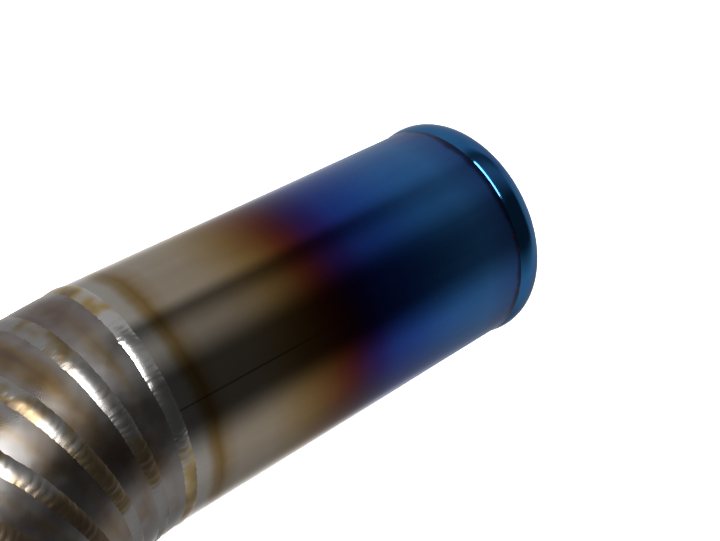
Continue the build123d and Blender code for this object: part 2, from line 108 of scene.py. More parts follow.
class NodeGraph:
    """Adds nodes to one shader tree."""

    def __init__(self, tree: bpy.types.NodeTree) -> None:
        """Takes the tree that the nodes go into."""
        self.tree = tree

    def link(self, source: bpy.types.NodeSocket, target: bpy.types.NodeSocket) -> None:
        """Joins two sockets."""
        self.tree.links.new(source, target)

    def put(self, value: object, target: bpy.types.NodeSocket) -> None:
        """Sets a socket to a number or colour, or links another socket to it.

        Args:
            value: a socket, a number, or a tuple of numbers.
            target: the input socket.
        """
        if isinstance(value, bpy.types.NodeSocket):
            self.link(value, target)
        else:
            target.default_value = value

    def math(self, operation: str, first: object, second: object = 0.0, third: object = 0.0,
             clamp: bool = False) -> bpy.types.NodeSocket:
        """Adds a Math node.

        Args:
            operation: Blender's name of the operation.
            first: first value or socket.
            second: second value or socket.
            third: third value or socket.
            clamp: whether the result is kept between 0 and 1.

        Returns:
            The node's output socket.
        """
        node = self.tree.nodes.new("ShaderNodeMath")
        node.operation = operation
        node.use_clamp = clamp
        for value, target in zip((first, second, third), node.inputs):
            self.put(value, target)
        return node.outputs[0]

    def noise(self, vector: bpy.types.NodeSocket, scale: float, detail: float = 3.0,
              roughness: float = 0.5) -> bpy.types.NodeSocket:
        """Adds a noise pattern.

        Args:
            vector: coordinates of the pattern.
            scale: number of blotches per unit of those coordinates.
            detail: octaves of finer noise.
            roughness: weight of the finer octaves.

        Returns:
            The pattern's value, about 0 to 1.
        """
        node = self.tree.nodes.new("ShaderNodeTexNoise")
        self.link(vector, node.inputs["Vector"])
        node.inputs["Scale"].default_value = scale
        node.inputs["Detail"].default_value = detail
        node.inputs["Roughness"].default_value = roughness
        return node.outputs["Fac"]

    def spread(self, value: bpy.types.NodeSocket, low: float, high: float, new_low: float = 0.0,
               new_high: float = 1.0, smooth: bool = False) -> bpy.types.NodeSocket:
        """Maps a range of values onto another and clamps it.

        Args:
            value: the socket to map.
            low: start of the old range.
            high: end of the old range.
            new_low: start of the new range.
            new_high: end of the new range.
            smooth: whether the passage eases in and out.

        Returns:
            The mapped socket.
        """
        node = self.tree.nodes.new("ShaderNodeMapRange")
        node.interpolation_type = "SMOOTHSTEP" if smooth else "LINEAR"
        node.clamp = True
        self.link(value, node.inputs["Value"])
        node.inputs["From Min"].default_value = low
        node.inputs["From Max"].default_value = high
        node.inputs["To Min"].default_value = new_low
        node.inputs["To Max"].default_value = new_high
        return node.outputs["Result"]

    def ramp(self, value: bpy.types.NodeSocket, stops: list[tuple[float, Colour]],
             ease: bool = False) -> bpy.types.NodeSocket:
        """Adds a colour ramp.

        Args:
            value: position on the ramp.
            stops: pairs of position and colour.
            ease: whether colours ease into each other.

        Returns:
            The colour socket.
        """
        node = self.tree.nodes.new("ShaderNodeValToRGB")
        node.color_ramp.interpolation = "EASE" if ease else "LINEAR"
        elements = node.color_ramp.elements
        while len(elements) < len(stops):
            elements.new(0.5)
        # Positions go first, because the ramp keeps its stops in order.
        for element, (position, _) in zip(elements, stops):
            element.position = position
        for element, (_, colour) in zip(elements, stops):
            element.color = (*colour, 1.0)
        self.link(value, node.inputs["Fac"])
        return node.outputs["Color"]

    def blend(self, amount: object, first: object, second: object) -> bpy.types.NodeSocket:
        """Mixes two colours.

        Args:
            amount: share of the second colour.
            first: colour or socket.
            second: colour or socket.

        Returns:
            The mixed colour socket.
        """
        node = self.tree.nodes.new("ShaderNodeMix")
        node.data_type = "RGBA"
        self.put(amount, node.inputs["Factor"])
        for value, target in ((first, node.inputs[MIX_FIRST]), (second, node.inputs[MIX_SECOND])):
            self.put((*value, 1.0) if isinstance(value, tuple) and len(value) == 3 else value, target)
        return node.outputs[MIX_RESULT]


class Graph(NodeGraph):
    """Builds the node tree of one material."""

    def __init__(self, name: str) -> None:
        """Starts an empty material with a Principled shader.

        Args:
            name: the material's name.
        """
        self.material = bpy.data.materials.new(name)
        self.material.use_nodes = True
        super().__init__(self.material.node_tree)
        self.tree.nodes.clear()
        output = self.tree.nodes.new("ShaderNodeOutputMaterial")
        self.shader = self.tree.nodes.new("ShaderNodeBsdfPrincipled")
        self.link(self.shader.outputs["BSDF"], output.inputs["Surface"])

    def set(self, socket: str, value: object) -> None:
        """Sets or links one input of the Principled shader."""
        self.put(value, self.shader.inputs[socket])

    def object_point(self) -> bpy.types.NodeSocket:
        """Returns the point on the piece in Object coordinates."""
        return self.tree.nodes.new("ShaderNodeTexCoord").outputs["Object"]

    def mapped(self, repeats: tuple[float, float, float], turn: tuple[float, float, float] = (0, 0, 0),
               place: tuple[float, float, float] = (0, 0, 0)) -> bpy.types.NodeSocket:
        """Turns and scales the Object coordinates for a pattern.

        Args:
            repeats: pattern repeats per metre along each of the pattern's own axes.
            turn: rotation of the pattern in radians.
            place: place of the pattern's origin.

        Returns:
            The mapped vector socket.
        """
        node = self.tree.nodes.new("ShaderNodeMapping")
        node.vector_type = "TEXTURE"
        self.link(self.object_point(), node.inputs["Vector"])
        node.inputs["Scale"].default_value = [1.0 / number for number in repeats]
        node.inputs["Rotation"].default_value = turn
        node.inputs["Location"].default_value = place
        return node.outputs[0]

    def attribute(self, name: str) -> bpy.types.NodeSocket:
        """Reads a number that the mesh carries at each vertex.

        Args:
            name: the number's name.

        Returns:
            The number's socket.
        """
        node = self.tree.nodes.new("ShaderNodeAttribute")
        node.attribute_name = name
        return node.outputs["Fac"]

    def bump(self, height: bpy.types.NodeSocket, depth: float, strength: float = 1.0,
             under: bpy.types.NodeSocket | None = None) -> bpy.types.NodeSocket:
        """Adds a bump from a height pattern.

        Args:
            height: the pattern.
            depth: how far its full height stands out, in metres.
            strength: share of the effect.
            under: an earlier bump that this one adds to.

        Returns:
            The normal socket.
        """
        node = self.tree.nodes.new("ShaderNodeBump")
        node.inputs["Distance"].default_value = depth
        node.inputs["Strength"].default_value = strength
        self.link(height, node.inputs["Height"])
        if under is not None:
            self.link(under, node.inputs["Normal"])
        return node.outputs["Normal"]


class WorldGraph(NodeGraph):
    """Builds the node tree of the studio's world."""

    def __init__(self, name: str) -> None:
        """Starts a world with a plain background.

        Args:
            name: the world's name.
        """
        self.world = bpy.data.worlds.new(name)
        self.world.use_nodes = True
        super().__init__(self.world.node_tree)
        self.looked = self.tree.nodes.new("ShaderNodeTexCoord").outputs["Generated"]

    def toward(self, axis: Vector) -> bpy.types.NodeSocket:
        """Measures how far the direction looked in points along an axis.

        Args:
            axis: the axis, of length one.

        Returns:
            The cosine between the two, as a socket.
        """
        node = self.tree.nodes.new("ShaderNodeVectorMath")
        node.operation = "DOT_PRODUCT"
        node.inputs[1].default_value = axis
        self.link(self.looked, node.inputs[0])
        return node.outputs["Value"]

    def camera_ray(self) -> bpy.types.NodeSocket:
        """Returns 1 where the camera sees the world itself, and 0 for light that it sheds."""
        return self.tree.nodes.new("ShaderNodeLightPath").outputs["Is Camera Ray"]


class Grain(Enum):
    """Direction in which a metal was brushed or polished."""

    ALONG_CAN = (0.0, 0.0, 0.0)
    ALONG_OUTLET = (0.0, 0.0, math.radians(-45.0))


# ---------------------------------------------------------------------------------------------
# Finishes
# ---------------------------------------------------------------------------------------------


@dataclass(frozen=True)
class HeatBluedTitanium:
    """Polished titanium coloured by flame: blue at the tip, through purple and gold, to bare metal, with
    painted shade in the crease at the tip, where the end ring's nose meets it.
    """

    name: str = "heat_blued_titanium"
    reach: float = 0.1065
    wander: float = 0.0016
    tip_roughness: float = 0.34
    roughness: float = 0.12
    seam_half_width: float = 0.11 * MM

    def colour_run(self) -> list[tuple[float, Colour]]:
        """Lists the oxide colours of the outlet, with painted shade at its tip.

        Returns:
            Pairs of place, from the outlet's tip (0) to its first weld (1), and colour.
        """
        return [
            # From 0.017 down to the tip the blue darkens to near black: painted shade in the crease where
            # the end ring's nose meets the tube. The blues beyond are oxide.
            (0.000, (0.010, 0.022, 0.075)),
            (0.009, (0.014, 0.036, 0.120)),
            (0.017, (0.036, 0.120, 0.370)),
            (0.113, (0.046, 0.205, 0.530)),
            (0.225, (0.034, 0.172, 0.510)),
            (0.338, (0.022, 0.098, 0.430)),
            (0.422, (0.020, 0.056, 0.340)),
            (0.470, (0.030, 0.022, 0.190)),
            (0.500, (0.045, 0.015, 0.120)),
            (0.535, (0.085, 0.014, 0.045)),
            (0.562, (0.125, 0.022, 0.020)),
            (0.592, (0.175, 0.046, 0.014)),
            (0.630, (0.240, 0.110, 0.032)),
            (0.676, (0.330, 0.200, 0.070)),
            (0.730, (0.420, 0.305, 0.165)),
            (0.789, (0.480, 0.390, 0.285)),
            (0.873, (0.500, 0.420, 0.330)),
            (0.903, (0.430, 0.330, 0.210)),
            (0.922, (0.300, 0.185, 0.065)),
            (0.938, (0.360, 0.260, 0.130)),
            (0.955, (0.530, 0.485, 0.425)),
            (1.000, (0.560, 0.540, 0.510)),
        ]

    def make(self) -> bpy.types.Material:
        """Builds the material.

        Returns:
            The material.
        """
        g = Graph(self.name)
        inward = g.attribute("inward")
        uneven = g.noise(g.mapped((1, 1, 1)), 42.0, 2.0)
        streaks = g.noise(g.mapped((14, 260, 260), Grain.ALONG_OUTLET.value), 1.0, 4.0, 0.6)
        slow_shift = g.math("MULTIPLY", g.math("SUBTRACT", uneven, 0.5), 2.4 * self.wander)
        quick_shift = g.math("MULTIPLY", g.math("SUBTRACT", streaks, 0.5), self.wander)
        shifted = g.math("ADD", g.math("ADD", inward, slow_shift), quick_shift)
        place = g.math("DIVIDE", shifted, self.reach, clamp=True)
        colour = g.ramp(place, self.colour_run())
        cloud = g.noise(g.mapped((30, 120, 120), Grain.ALONG_OUTLET.value), 1.0, 3.0, 0.6)
        clouded = g.blend(g.spread(cloud, 0.35, 0.8, 0.0, 0.16), colour, (0.02, 0.02, 0.03))
        # Small purple spots where the tube meets the end ring.
        spots = g.spread(g.noise(g.mapped((1, 1, 1), place=(0.1, 0.3, 0.2)), 420.0, 1.0), 0.60, 0.66)
        near_tip = g.spread(inward, 0.3 * MM, 2.2 * MM, 1.0, 0.0)
        spotted = g.blend(g.math("MULTIPLY", spots, near_tip), clouded, (0.12, 0.02, 0.05))
        # The rolled tube's long seam, seen where the colour has run out.
        seam = g.math("ABSOLUTE", g.attribute("from_seam"))
        line = g.spread(seam, self.seam_half_width, 2.5 * self.seam_half_width, 1.0, 0.0)
        bare = g.spread(inward, 0.052, 0.075, 0.0, 0.62)
        g.set("Base Color", g.blend(g.math("MULTIPLY", line, bare), spotted, (0.05, 0.03, 0.02)))
        g.set("Metallic", 1.0)
        fine = g.noise(g.mapped((30, 1600, 1600), Grain.ALONG_OUTLET.value), 1.0, 3.0, 0.6)
        sheen = g.spread(inward, 0.0, 0.062, self.tip_roughness, self.roughness, True)
        g.set("Roughness", g.math("ADD", sheen, g.spread(streaks, 0.25, 0.8, -0.03, 0.06)))
        g.set("Normal", g.bump(fine, 0.004 * MM, 0.6))
        return g.material


@dataclass(frozen=True)
class BluedRing:
    """Mirror-polished end ring, coloured light blue by flame."""

    name: str = "heat_blued_ring"
    blue: Colour = (0.050, 0.240, 0.540)
    deep: Colour = (0.030, 0.140, 0.430)
    soot: Colour = (0.030, 0.030, 0.034)
    roughness: float = 0.07

    def make(self) -> bpy.types.Material:
        """Builds the material.

        Returns:
            The material.
        """
        g = Graph(self.name)
        drift = g.noise(g.mapped((1, 1, 1)), 34.0, 3.0, 0.6)
        blued = g.blend(g.spread(drift, 0.40, 0.65), self.blue, self.deep)
        inside = g.spread(g.attribute("into_bore"), 0.5 * MM, 9.0 * MM, 0.0, 0.92, True)
        g.set("Base Color", g.blend(inside, blued, self.soot))
        g.set("Metallic", 1.0)
        wiped = g.noise(g.mapped((1, 1, 1), place=(0.5, 0.2, 0.6)), 160.0, 3.0, 0.6)
        g.set("Roughness", g.math("ADD", g.spread(wiped, 0.3, 0.7, self.roughness, self.roughness + 0.05),
                                  g.math("MULTIPLY", inside, 0.4)))
        fine = g.noise(g.mapped((900, 900, 900)), 1.0, 2.0)
        g.set("Normal", g.bump(fine, 0.003 * MM, 0.5))
        return g.material


@dataclass(frozen=True)
class WeldedTitanium:
    """Satin titanium sheet with a silver zone and a gold heat line beside each weld."""

    name: str = "welded_titanium"
    bare: Colour = (0.33, 0.305, 0.290)
    silver: Colour = (0.42, 0.40, 0.39)
    straw: Colour = (0.36, 0.26, 0.13)
    bronze: Colour = (0.22, 0.135, 0.055)
    plum: Colour = (0.16, 0.105, 0.098)
    line_at: float = 8.2 * MM
    roughness: float = 0.24

    def make(self) -> bpy.types.Material:
        """Builds the material.

        Returns:
            The material.
        """
        g = Graph(self.name)
        weld = g.attribute("from_weld")
        uneven = g.noise(g.mapped((1, 1, 1)), 60.0, 3.0, 0.6)
        wander = g.math("MULTIPLY", g.math("SUBTRACT", uneven, 0.5), 5.5 * MM)
        distance = g.math("ADD", weld, wander)
        heat = g.ramp(
            g.math("DIVIDE", distance, 2.0 * self.line_at, clamp=True),
            [
                (0.00, self.silver),
                (0.22, self.silver),
                (0.34, self.straw),
                (0.44, self.bronze),
                (0.54, self.plum),
                (0.64, self.straw),
                (0.82, self.bare),
                (1.00, self.bare),
            ],
        )
        # The heat lines come and go, as the torch did.
        faded = g.noise(g.mapped((1, 1, 1), place=(0.6, 0.9, 0.3)), 40.0, 2.0)
        lined = g.blend(g.spread(faded, 0.38, 0.62, 0.10, 0.80), heat, self.bare)
        smoke = g.noise(g.mapped((1, 1, 1), place=(0.3, 0.1, 0.7)), 24.0, 4.0, 0.62)
        smoked = g.blend(g.spread(smoke, 0.46, 0.62, 0.0, 0.85), lined, self.plum)
        gilt = g.noise(g.mapped((1, 1, 1), place=(0.7, 0.4, 0.2)), 34.0, 3.0, 0.6)
        g.set("Base Color", g.blend(g.spread(gilt, 0.52, 0.64, 0.0, 0.75), smoked, self.bronze))
        g.set("Metallic", 1.0)
        wiped = g.noise(g.mapped((1, 1, 1), place=(0.9, 0.2, 0.4)), 75.0, 3.0, 0.55)
        g.set("Roughness", g.spread(wiped, 0.3, 0.7, self.roughness - 0.05, self.roughness + 0.13))
        dimples = g.noise(g.mapped((1, 1, 1)), 150.0, 2.0)
        ridges = g.noise(g.mapped((1, 1, 1), place=(0.2, 0.2, 0.9)), 620.0, 3.0, 0.6)
        soft = g.bump(dimples, 0.14 * MM, 0.6)
        g.set("Normal", g.bump(ridges, 0.010 * MM, 0.6, soft))
        return g.material


@dataclass(frozen=True)
class WeldBeadTitanium:
    """Weld metal: bright or tempered silver with straw and bronze patches."""

    name: str
    silver: Colour
    straw: Colour
    bronze: Colour
    roughness: float
    first_straw: float = 0.56

    def make(self) -> bpy.types.Material:
        """Builds the material.

        Returns:
            The material.
        """
        g = Graph(self.name)
        patches = g.noise(g.mapped((1, 1, 1), place=(0.2, 0.5, 0.1)), 52.0, 3.0, 0.55)
        colour = g.ramp(
            patches,
            [(0.0, self.silver), (self.first_straw - 0.07, self.silver), (self.first_straw, self.straw),
             (self.first_straw + 0.08, self.bronze), (1.0, self.bronze)],
        )
        g.set("Base Color", colour)
        g.set("Metallic", 1.0)
        g.set("Roughness", g.spread(patches, 0.3, 0.7, self.roughness, self.roughness + 0.10))
        frost = g.noise(g.mapped((1, 1, 1)), 900.0, 2.0)
        g.set("Normal", g.bump(frost, 0.02 * MM, 0.5))
        return g.material


@dataclass(frozen=True)
class PlainMetal:
    """Metal with a fine grain, soft stains and small scratches."""

    name: str
    colour: Colour
    stain: Colour
    roughness: float
    grain: Grain = Grain.ALONG_CAN
    stain_amount: float = 0.35
    grain_depth: float = 0.01 * MM
    stretch: float = 20.0

    def make(self) -> bpy.types.Material:
        """Builds the material.

        Returns:
            The material.
        """
        g = Graph(self.name)
        lines = g.noise(g.mapped((1400 / self.stretch, 1400, 1400), self.grain.value), 1.0, 4.0, 0.65)
        stains = g.noise(g.mapped((1, 1, 1), place=(0.4, 0.8, 0.2)), 38.0, 4.0, 0.6)
        tinted = g.blend(g.spread(stains, 0.45, 0.75, 0.0, self.stain_amount), self.colour, self.stain)
        g.set("Base Color", g.blend(g.spread(lines, 0.3, 0.8, 0.0, 0.18), tinted, self.stain))
        g.set("Metallic", 1.0)
        g.set("Roughness", g.spread(lines, 0.25, 0.8, self.roughness - 0.05, self.roughness + 0.10))
        g.set("Normal", g.bump(lines, self.grain_depth, 0.7))
        return g.material


@dataclass(frozen=True)
class BrushedCan:
    """Can titanium brushed round its girth, with heat rings beside its two end welds."""

    name: str = "brushed_can_titanium"
    colour: Colour = (0.47, 0.455, 0.435)
    dull: Colour = (0.33, 0.315, 0.30)
    heat_reach: float = 16.0 * MM
    roughness: float = 0.25
    girth_lines: float = 1500.0

    def make(self) -> bpy.types.Material:
        """Builds the material.

        Returns:
            The material.
        """
        g = Graph(self.name)
        lines = g.noise(g.mapped((self.girth_lines, 14, 14)), 1.0, 4.0, 0.65)
        uneven = g.noise(g.mapped((1, 1, 1), place=(0.3, 0.6, 0.1)), 24.0, 3.0, 0.55)
        shift = g.math("MULTIPLY", g.math("SUBTRACT", uneven, 0.5), 5.0 * MM)
        distance = g.math("ADD", g.attribute("from_weld"), shift)
        heat = g.ramp(
            g.math("DIVIDE", distance, self.heat_reach, clamp=True),
            [(0.00, (0.46, 0.45, 0.44)), (0.22, (0.44, 0.41, 0.36)), (0.34, (0.10, 0.13, 0.30)),
             (0.44, (0.16, 0.07, 0.17)), (0.56, (0.34, 0.20, 0.08)), (0.74, (0.46, 0.38, 0.25)),
             (1.00, self.colour)],
        )
        g.set("Base Color", g.blend(g.spread(lines, 0.35, 0.75, 0.0, 0.45), heat, self.dull))
        g.set("Metallic", 1.0)
        smears = g.noise(g.mapped((1, 1, 1), place=(0.8, 0.1, 0.5)), 30.0, 3.0, 0.6)
        worn = g.spread(smears, 0.35, 0.7, self.roughness - 0.03, self.roughness + 0.08)
        g.set("Roughness", g.math("ADD", worn, g.spread(lines, 0.3, 0.8, 0.0, 0.08)))
        g.set("Normal", g.bump(lines, 0.012 * MM, 0.7))
        return g.material


@dataclass(frozen=True)
class SoftSolid:
    """Rubber, graphite or fibre: a dull surface with its own speckle."""

    name: str
    colour: Colour
    speck: Colour
    roughness: float
    speck_scale: float
    depth: float
    stretch: tuple[float, float, float] = (1.0, 1.0, 1.0)

    def make(self) -> bpy.types.Material:
        """Builds the material.

        Returns:
            The material.
        """
        g = Graph(self.name)
        specks = g.noise(g.mapped(self.stretch), self.speck_scale, 4.0, 0.65)
        broad = g.noise(g.mapped((1, 1, 1)), 60.0, 3.0)
        colour = g.blend(g.spread(specks, 0.45, 0.75), self.colour, self.speck)
        g.set("Base Color", g.blend(g.spread(broad, 0.4, 0.8, 0.0, 0.3), colour, self.speck))
        g.set("Roughness", g.spread(specks, 0.3, 0.7, self.roughness - 0.08, self.roughness + 0.06))
        g.set("Normal", g.bump(specks, self.depth, 0.8))
        return g.material


class Finishes:
    """All finishes of the muffler, made once and shared."""

    def __init__(self) -> None:
        """Builds every material."""
        self.blued = HeatBluedTitanium().make()
        self.ring = BluedRing().make()
        self.welded = WeldedTitanium().make()
        self.bright_bead = WeldBeadTitanium("bright_weld_bead", (0.66, 0.65, 0.64), (0.56, 0.42, 0.20),
                                            (0.32, 0.22, 0.10), 0.17, 0.53).make()
        self.bead = WeldBeadTitanium("tempered_weld_bead", (0.38, 0.365, 0.35), (0.28, 0.21, 0.12),
                                     (0.16, 0.115, 0.08), 0.28, 0.54).make()
        self.can = BrushedCan().make()
        self.sleeve = PlainMetal("straw_titanium", (0.44, 0.41, 0.36), (0.30, 0.21, 0.11), 0.26,
                                 stain_amount=0.6).make()
        self.steel = PlainMetal("perforated_steel", (0.50, 0.47, 0.44), (0.20, 0.14, 0.10), 0.38,
                                stain_amount=0.8).make()
        self.strap = PlainMetal("satin_stainless", (0.60, 0.60, 0.60), (0.40, 0.39, 0.38), 0.26,
                                stain_amount=0.2).make()
        self.zinc = PlainMetal("zinc_plate", (0.66, 0.67, 0.70), (0.48, 0.49, 0.47), 0.24,
                               stretch=2.0, stain_amount=0.4).make()
        self.sooted = PlainMetal("sooted_baffle_steel", (0.40, 0.38, 0.36), (0.10, 0.09, 0.085), 0.36,
                                 Grain.ALONG_OUTLET, stain_amount=0.8).make()
        self.rubber = SoftSolid("black_rubber", (0.018, 0.018, 0.019), (0.040, 0.040, 0.042), 0.62,
                                1400.0, 0.02 * MM).make()
        self.graphite = SoftSolid("pressed_graphite", (0.045, 0.045, 0.050), (0.120, 0.120, 0.125), 0.50,
                                  2600.0, 0.03 * MM).make()
        self.wool = SoftSolid("steel_wool", (0.20, 0.195, 0.19), (0.45, 0.44, 0.43), 0.55,
                              1.0, 0.4 * MM, (300.0, 1500.0, 1500.0)).make()
        self.fibre = SoftSolid("basalt_fibre", (0.45, 0.40, 0.28), (0.70, 0.66, 0.50), 0.9,
                               1.0, 0.5 * MM, (700.0, 1200.0, 350.0)).make()


# ---------------------------------------------------------------------------------------------
# Mesh building
# ---------------------------------------------------------------------------------------------


@dataclass(frozen=True)
class Axle:
    """A straight axis that round pieces are turned about."""

    origin: Vector
    along: Vector

    def basis(self) -> tuple[Vector, Vector]:
        """Returns the upward and sideways directions square to the axis."""
        up = (UP - self.along * UP.dot(self.along)).normalized()
        return up, self.along.cross(up)

    def point(self, ahead: float, radius: float, angle: float) -> Vector:
        """Finds a point by its place round the axis.

        Args:
            ahead: distance along the axis from its origin.
            radius: distance from the axis.
            angle: angle from the upward direction, in radians.

        Returns:
            The point.
        """
        up, side = self.basis()
        return self.origin + self.along * ahead + (up * math.cos(angle) + side * math.sin(angle)) * radius

    def matrix(self) -> Matrix:
        """Returns the transform that takes +X to the axis and +Z to the upward direction."""
        up, side = self.basis()
        return placed(self.along, -side, up, self.origin)


def finish_piece(piece: bpy.types.Object, material: bpy.types.Material, body: str,
                 nodes: tuple[str, ...] = (), crease: float = 32.0) -> None:
    """Shades a piece, gives it its finish and ties it to the frame.

    Args:
        piece: the mesh object.
        material: its finish.
        body: CAD body that it moves with.
        nodes: CAD nodes that it stands for.
        crease: angle in degrees above which an edge stays sharp.
    """
    piece.data.materials.clear()
    piece.data.materials.append(material)
    piece.data.shade_smooth()
    piece.data.set_sharp_from_angle(angle=math.radians(crease))
    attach(piece, body)
    if nodes:
        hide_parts(*nodes)
    LOG.info("%s: %d faces, rides on %s", piece.name, len(piece.data.polygons), body)


def new_piece(name: str, mesh: bpy.types.Mesh) -> bpy.types.Object:
    """Links a mesh into the scene as an object at the origin.

    Args:
        name: the piece's name.
        mesh: its mesh.

    Returns:
        The object.
    """
    piece = bpy.data.objects.new(name, mesh)
    bpy.context.scene.collection.objects.link(piece)
    return piece


def turned_mesh(name: str, axle: Axle, outline: Outline, around: int,
                facts: Facts | None = None) -> bpy.types.Mesh:
    """Turns a closed outline about an axis.

    Args:
        name: the mesh's name.
        axle: the axis.
        outline: closed loop of (distance along the axis, radius), or a function of the angle that
            gives such a loop, for pieces that aren't round.
        around: number of steps round the axis.
        facts: functions of a point that give the numbers the mesh carries at each vertex.

    Returns:
        The mesh.
    """
    bm = bmesh.new()
    rings = []
    for step in range(around):
        angle = 2 * math.pi * step / around
        loop = outline(angle) if callable(outline) else outline
        rings.append([bm.verts.new(axle.point(s, r, angle)) for s, r in loop])
    return ringed_mesh(name, bm, rings, facts or {})


def ringed_mesh(name: str, bm: bmesh.types.BMesh, rings: list[list[bmesh.types.BMVert]],
                facts: Facts) -> bpy.types.Mesh:
    """Joins closed loops of points, each to the next and the last to the first.

    Args:
        name: the mesh's name.
        bm: holds the points; it is freed.
        rings: the loops, all with the same number of points.
        facts: functions of a point that give the numbers the mesh carries at each vertex.

    Returns:
        The mesh.
    """
    for here, there in zip(rings, rings[1:] + rings[:1]):
        for k in range(len(here)):
            n = (k + 1) % len(here)
            bm.faces.new((here[k], here[n], there[n], there[k]))
    mesh = closed_mesh(name, bm)
    carry_facts(mesh, facts)
    return mesh


def closed_mesh(name: str, bm: bmesh.types.BMesh) -> bpy.types.Mesh:
    """Merges doubles, points the faces outwards and returns the mesh.

    Args:
        name: the mesh's name.
        bm: the faces; it is freed.

    Returns:
        The mesh.
    """
    bmesh.ops.remove_doubles(bm, verts=bm.verts, dist=1e-7)
    bmesh.ops.dissolve_degenerate(bm, edges=bm.edges, dist=1e-8)
    bmesh.ops.recalc_face_normals(bm, faces=bm.faces)
    mesh = bpy.data.meshes.new(name)
    bm.to_mesh(mesh)
    bm.free()
    return mesh


def joined(name: str, meshes: list[bpy.types.Mesh]) -> bpy.types.Mesh:
    """Puts several meshes of one piece together.

    Args:
        name: the new mesh's name.
        meshes: the meshes; they are removed.

    Returns:
        The mesh.
    """
    bm = bmesh.new()
    for part in meshes:
        bm.from_mesh(part)
        bpy.data.meshes.remove(part)
    mesh = bpy.data.meshes.new(name)
    bm.to_mesh(mesh)
    bm.free()
    return mesh


def rounded(corners: Loop, reach: float, steps: int = 6) -> Loop:
    """Rounds the inner corners of an open path.

    Args:
        corners: the path's corners.
        reach: how far from each corner the rounding starts.
        steps: pieces of each rounding.

    Returns:
        The rounded path.
    """
    path = [corners[0]]
    for before, here, after in zip(corners, corners[1:], corners[2:]):
        back, spot, ahead = Vector(before), Vector(here), Vector(after)
        start = spot + (back - spot).normalized() * min(reach, (back - spot).length / 2)
        end = spot + (ahead - spot).normalized() * min(reach, (ahead - spot).length / 2)
        for i in range(steps + 1):
            t = i / steps
            place = start * (1 - t) ** 2 + spot * 2 * t * (1 - t) + end * t ** 2
            path.append((place.x, place.y))
    return path + [corners[-1]]


def divided(path: Loop, step: float) -> Loop:
    """Adds points to a path.

    Args:
        path: the path's corners.
        step: the most that two points may lie apart.

    Returns:
        The path with its new points.
    """
    points = [path[0]]
    for (s0, r0), (s1, r1) in zip(path, path[1:]):
        count = max(1, math.ceil(math.hypot(s1 - s0, r1 - r0) / step))
        points += [(s0 + (s1 - s0) * i / count, r0 + (r1 - r0) * i / count) for i in range(1, count + 1)]
    return points


def carry_facts(mesh: bpy.types.Mesh, facts: Facts) -> None:
    """Stores numbers at each vertex for the finishes to read.

    Args:
        mesh: the mesh.
        facts: name of each number and the function of a point that gives it.
    """
    for name, fact in facts.items():
        layer = mesh.attributes.new(name, "FLOAT", "POINT")
        layer.data.foreach_set("value", [fact(v.co) for v in mesh.vertices])


def stepped(start: float, end: float, step: float) -> list[float]:
    """Returns evenly spaced values from start to end, no further apart than step."""
    count = max(1, math.ceil(abs(end - start) / step))
    return [start + (end - start) * i / count for i in range(count + 1)]


# ---------------------------------------------------------------------------------------------
# Geometry Nodes: what repeats round or along a piece
# ---------------------------------------------------------------------------------------------


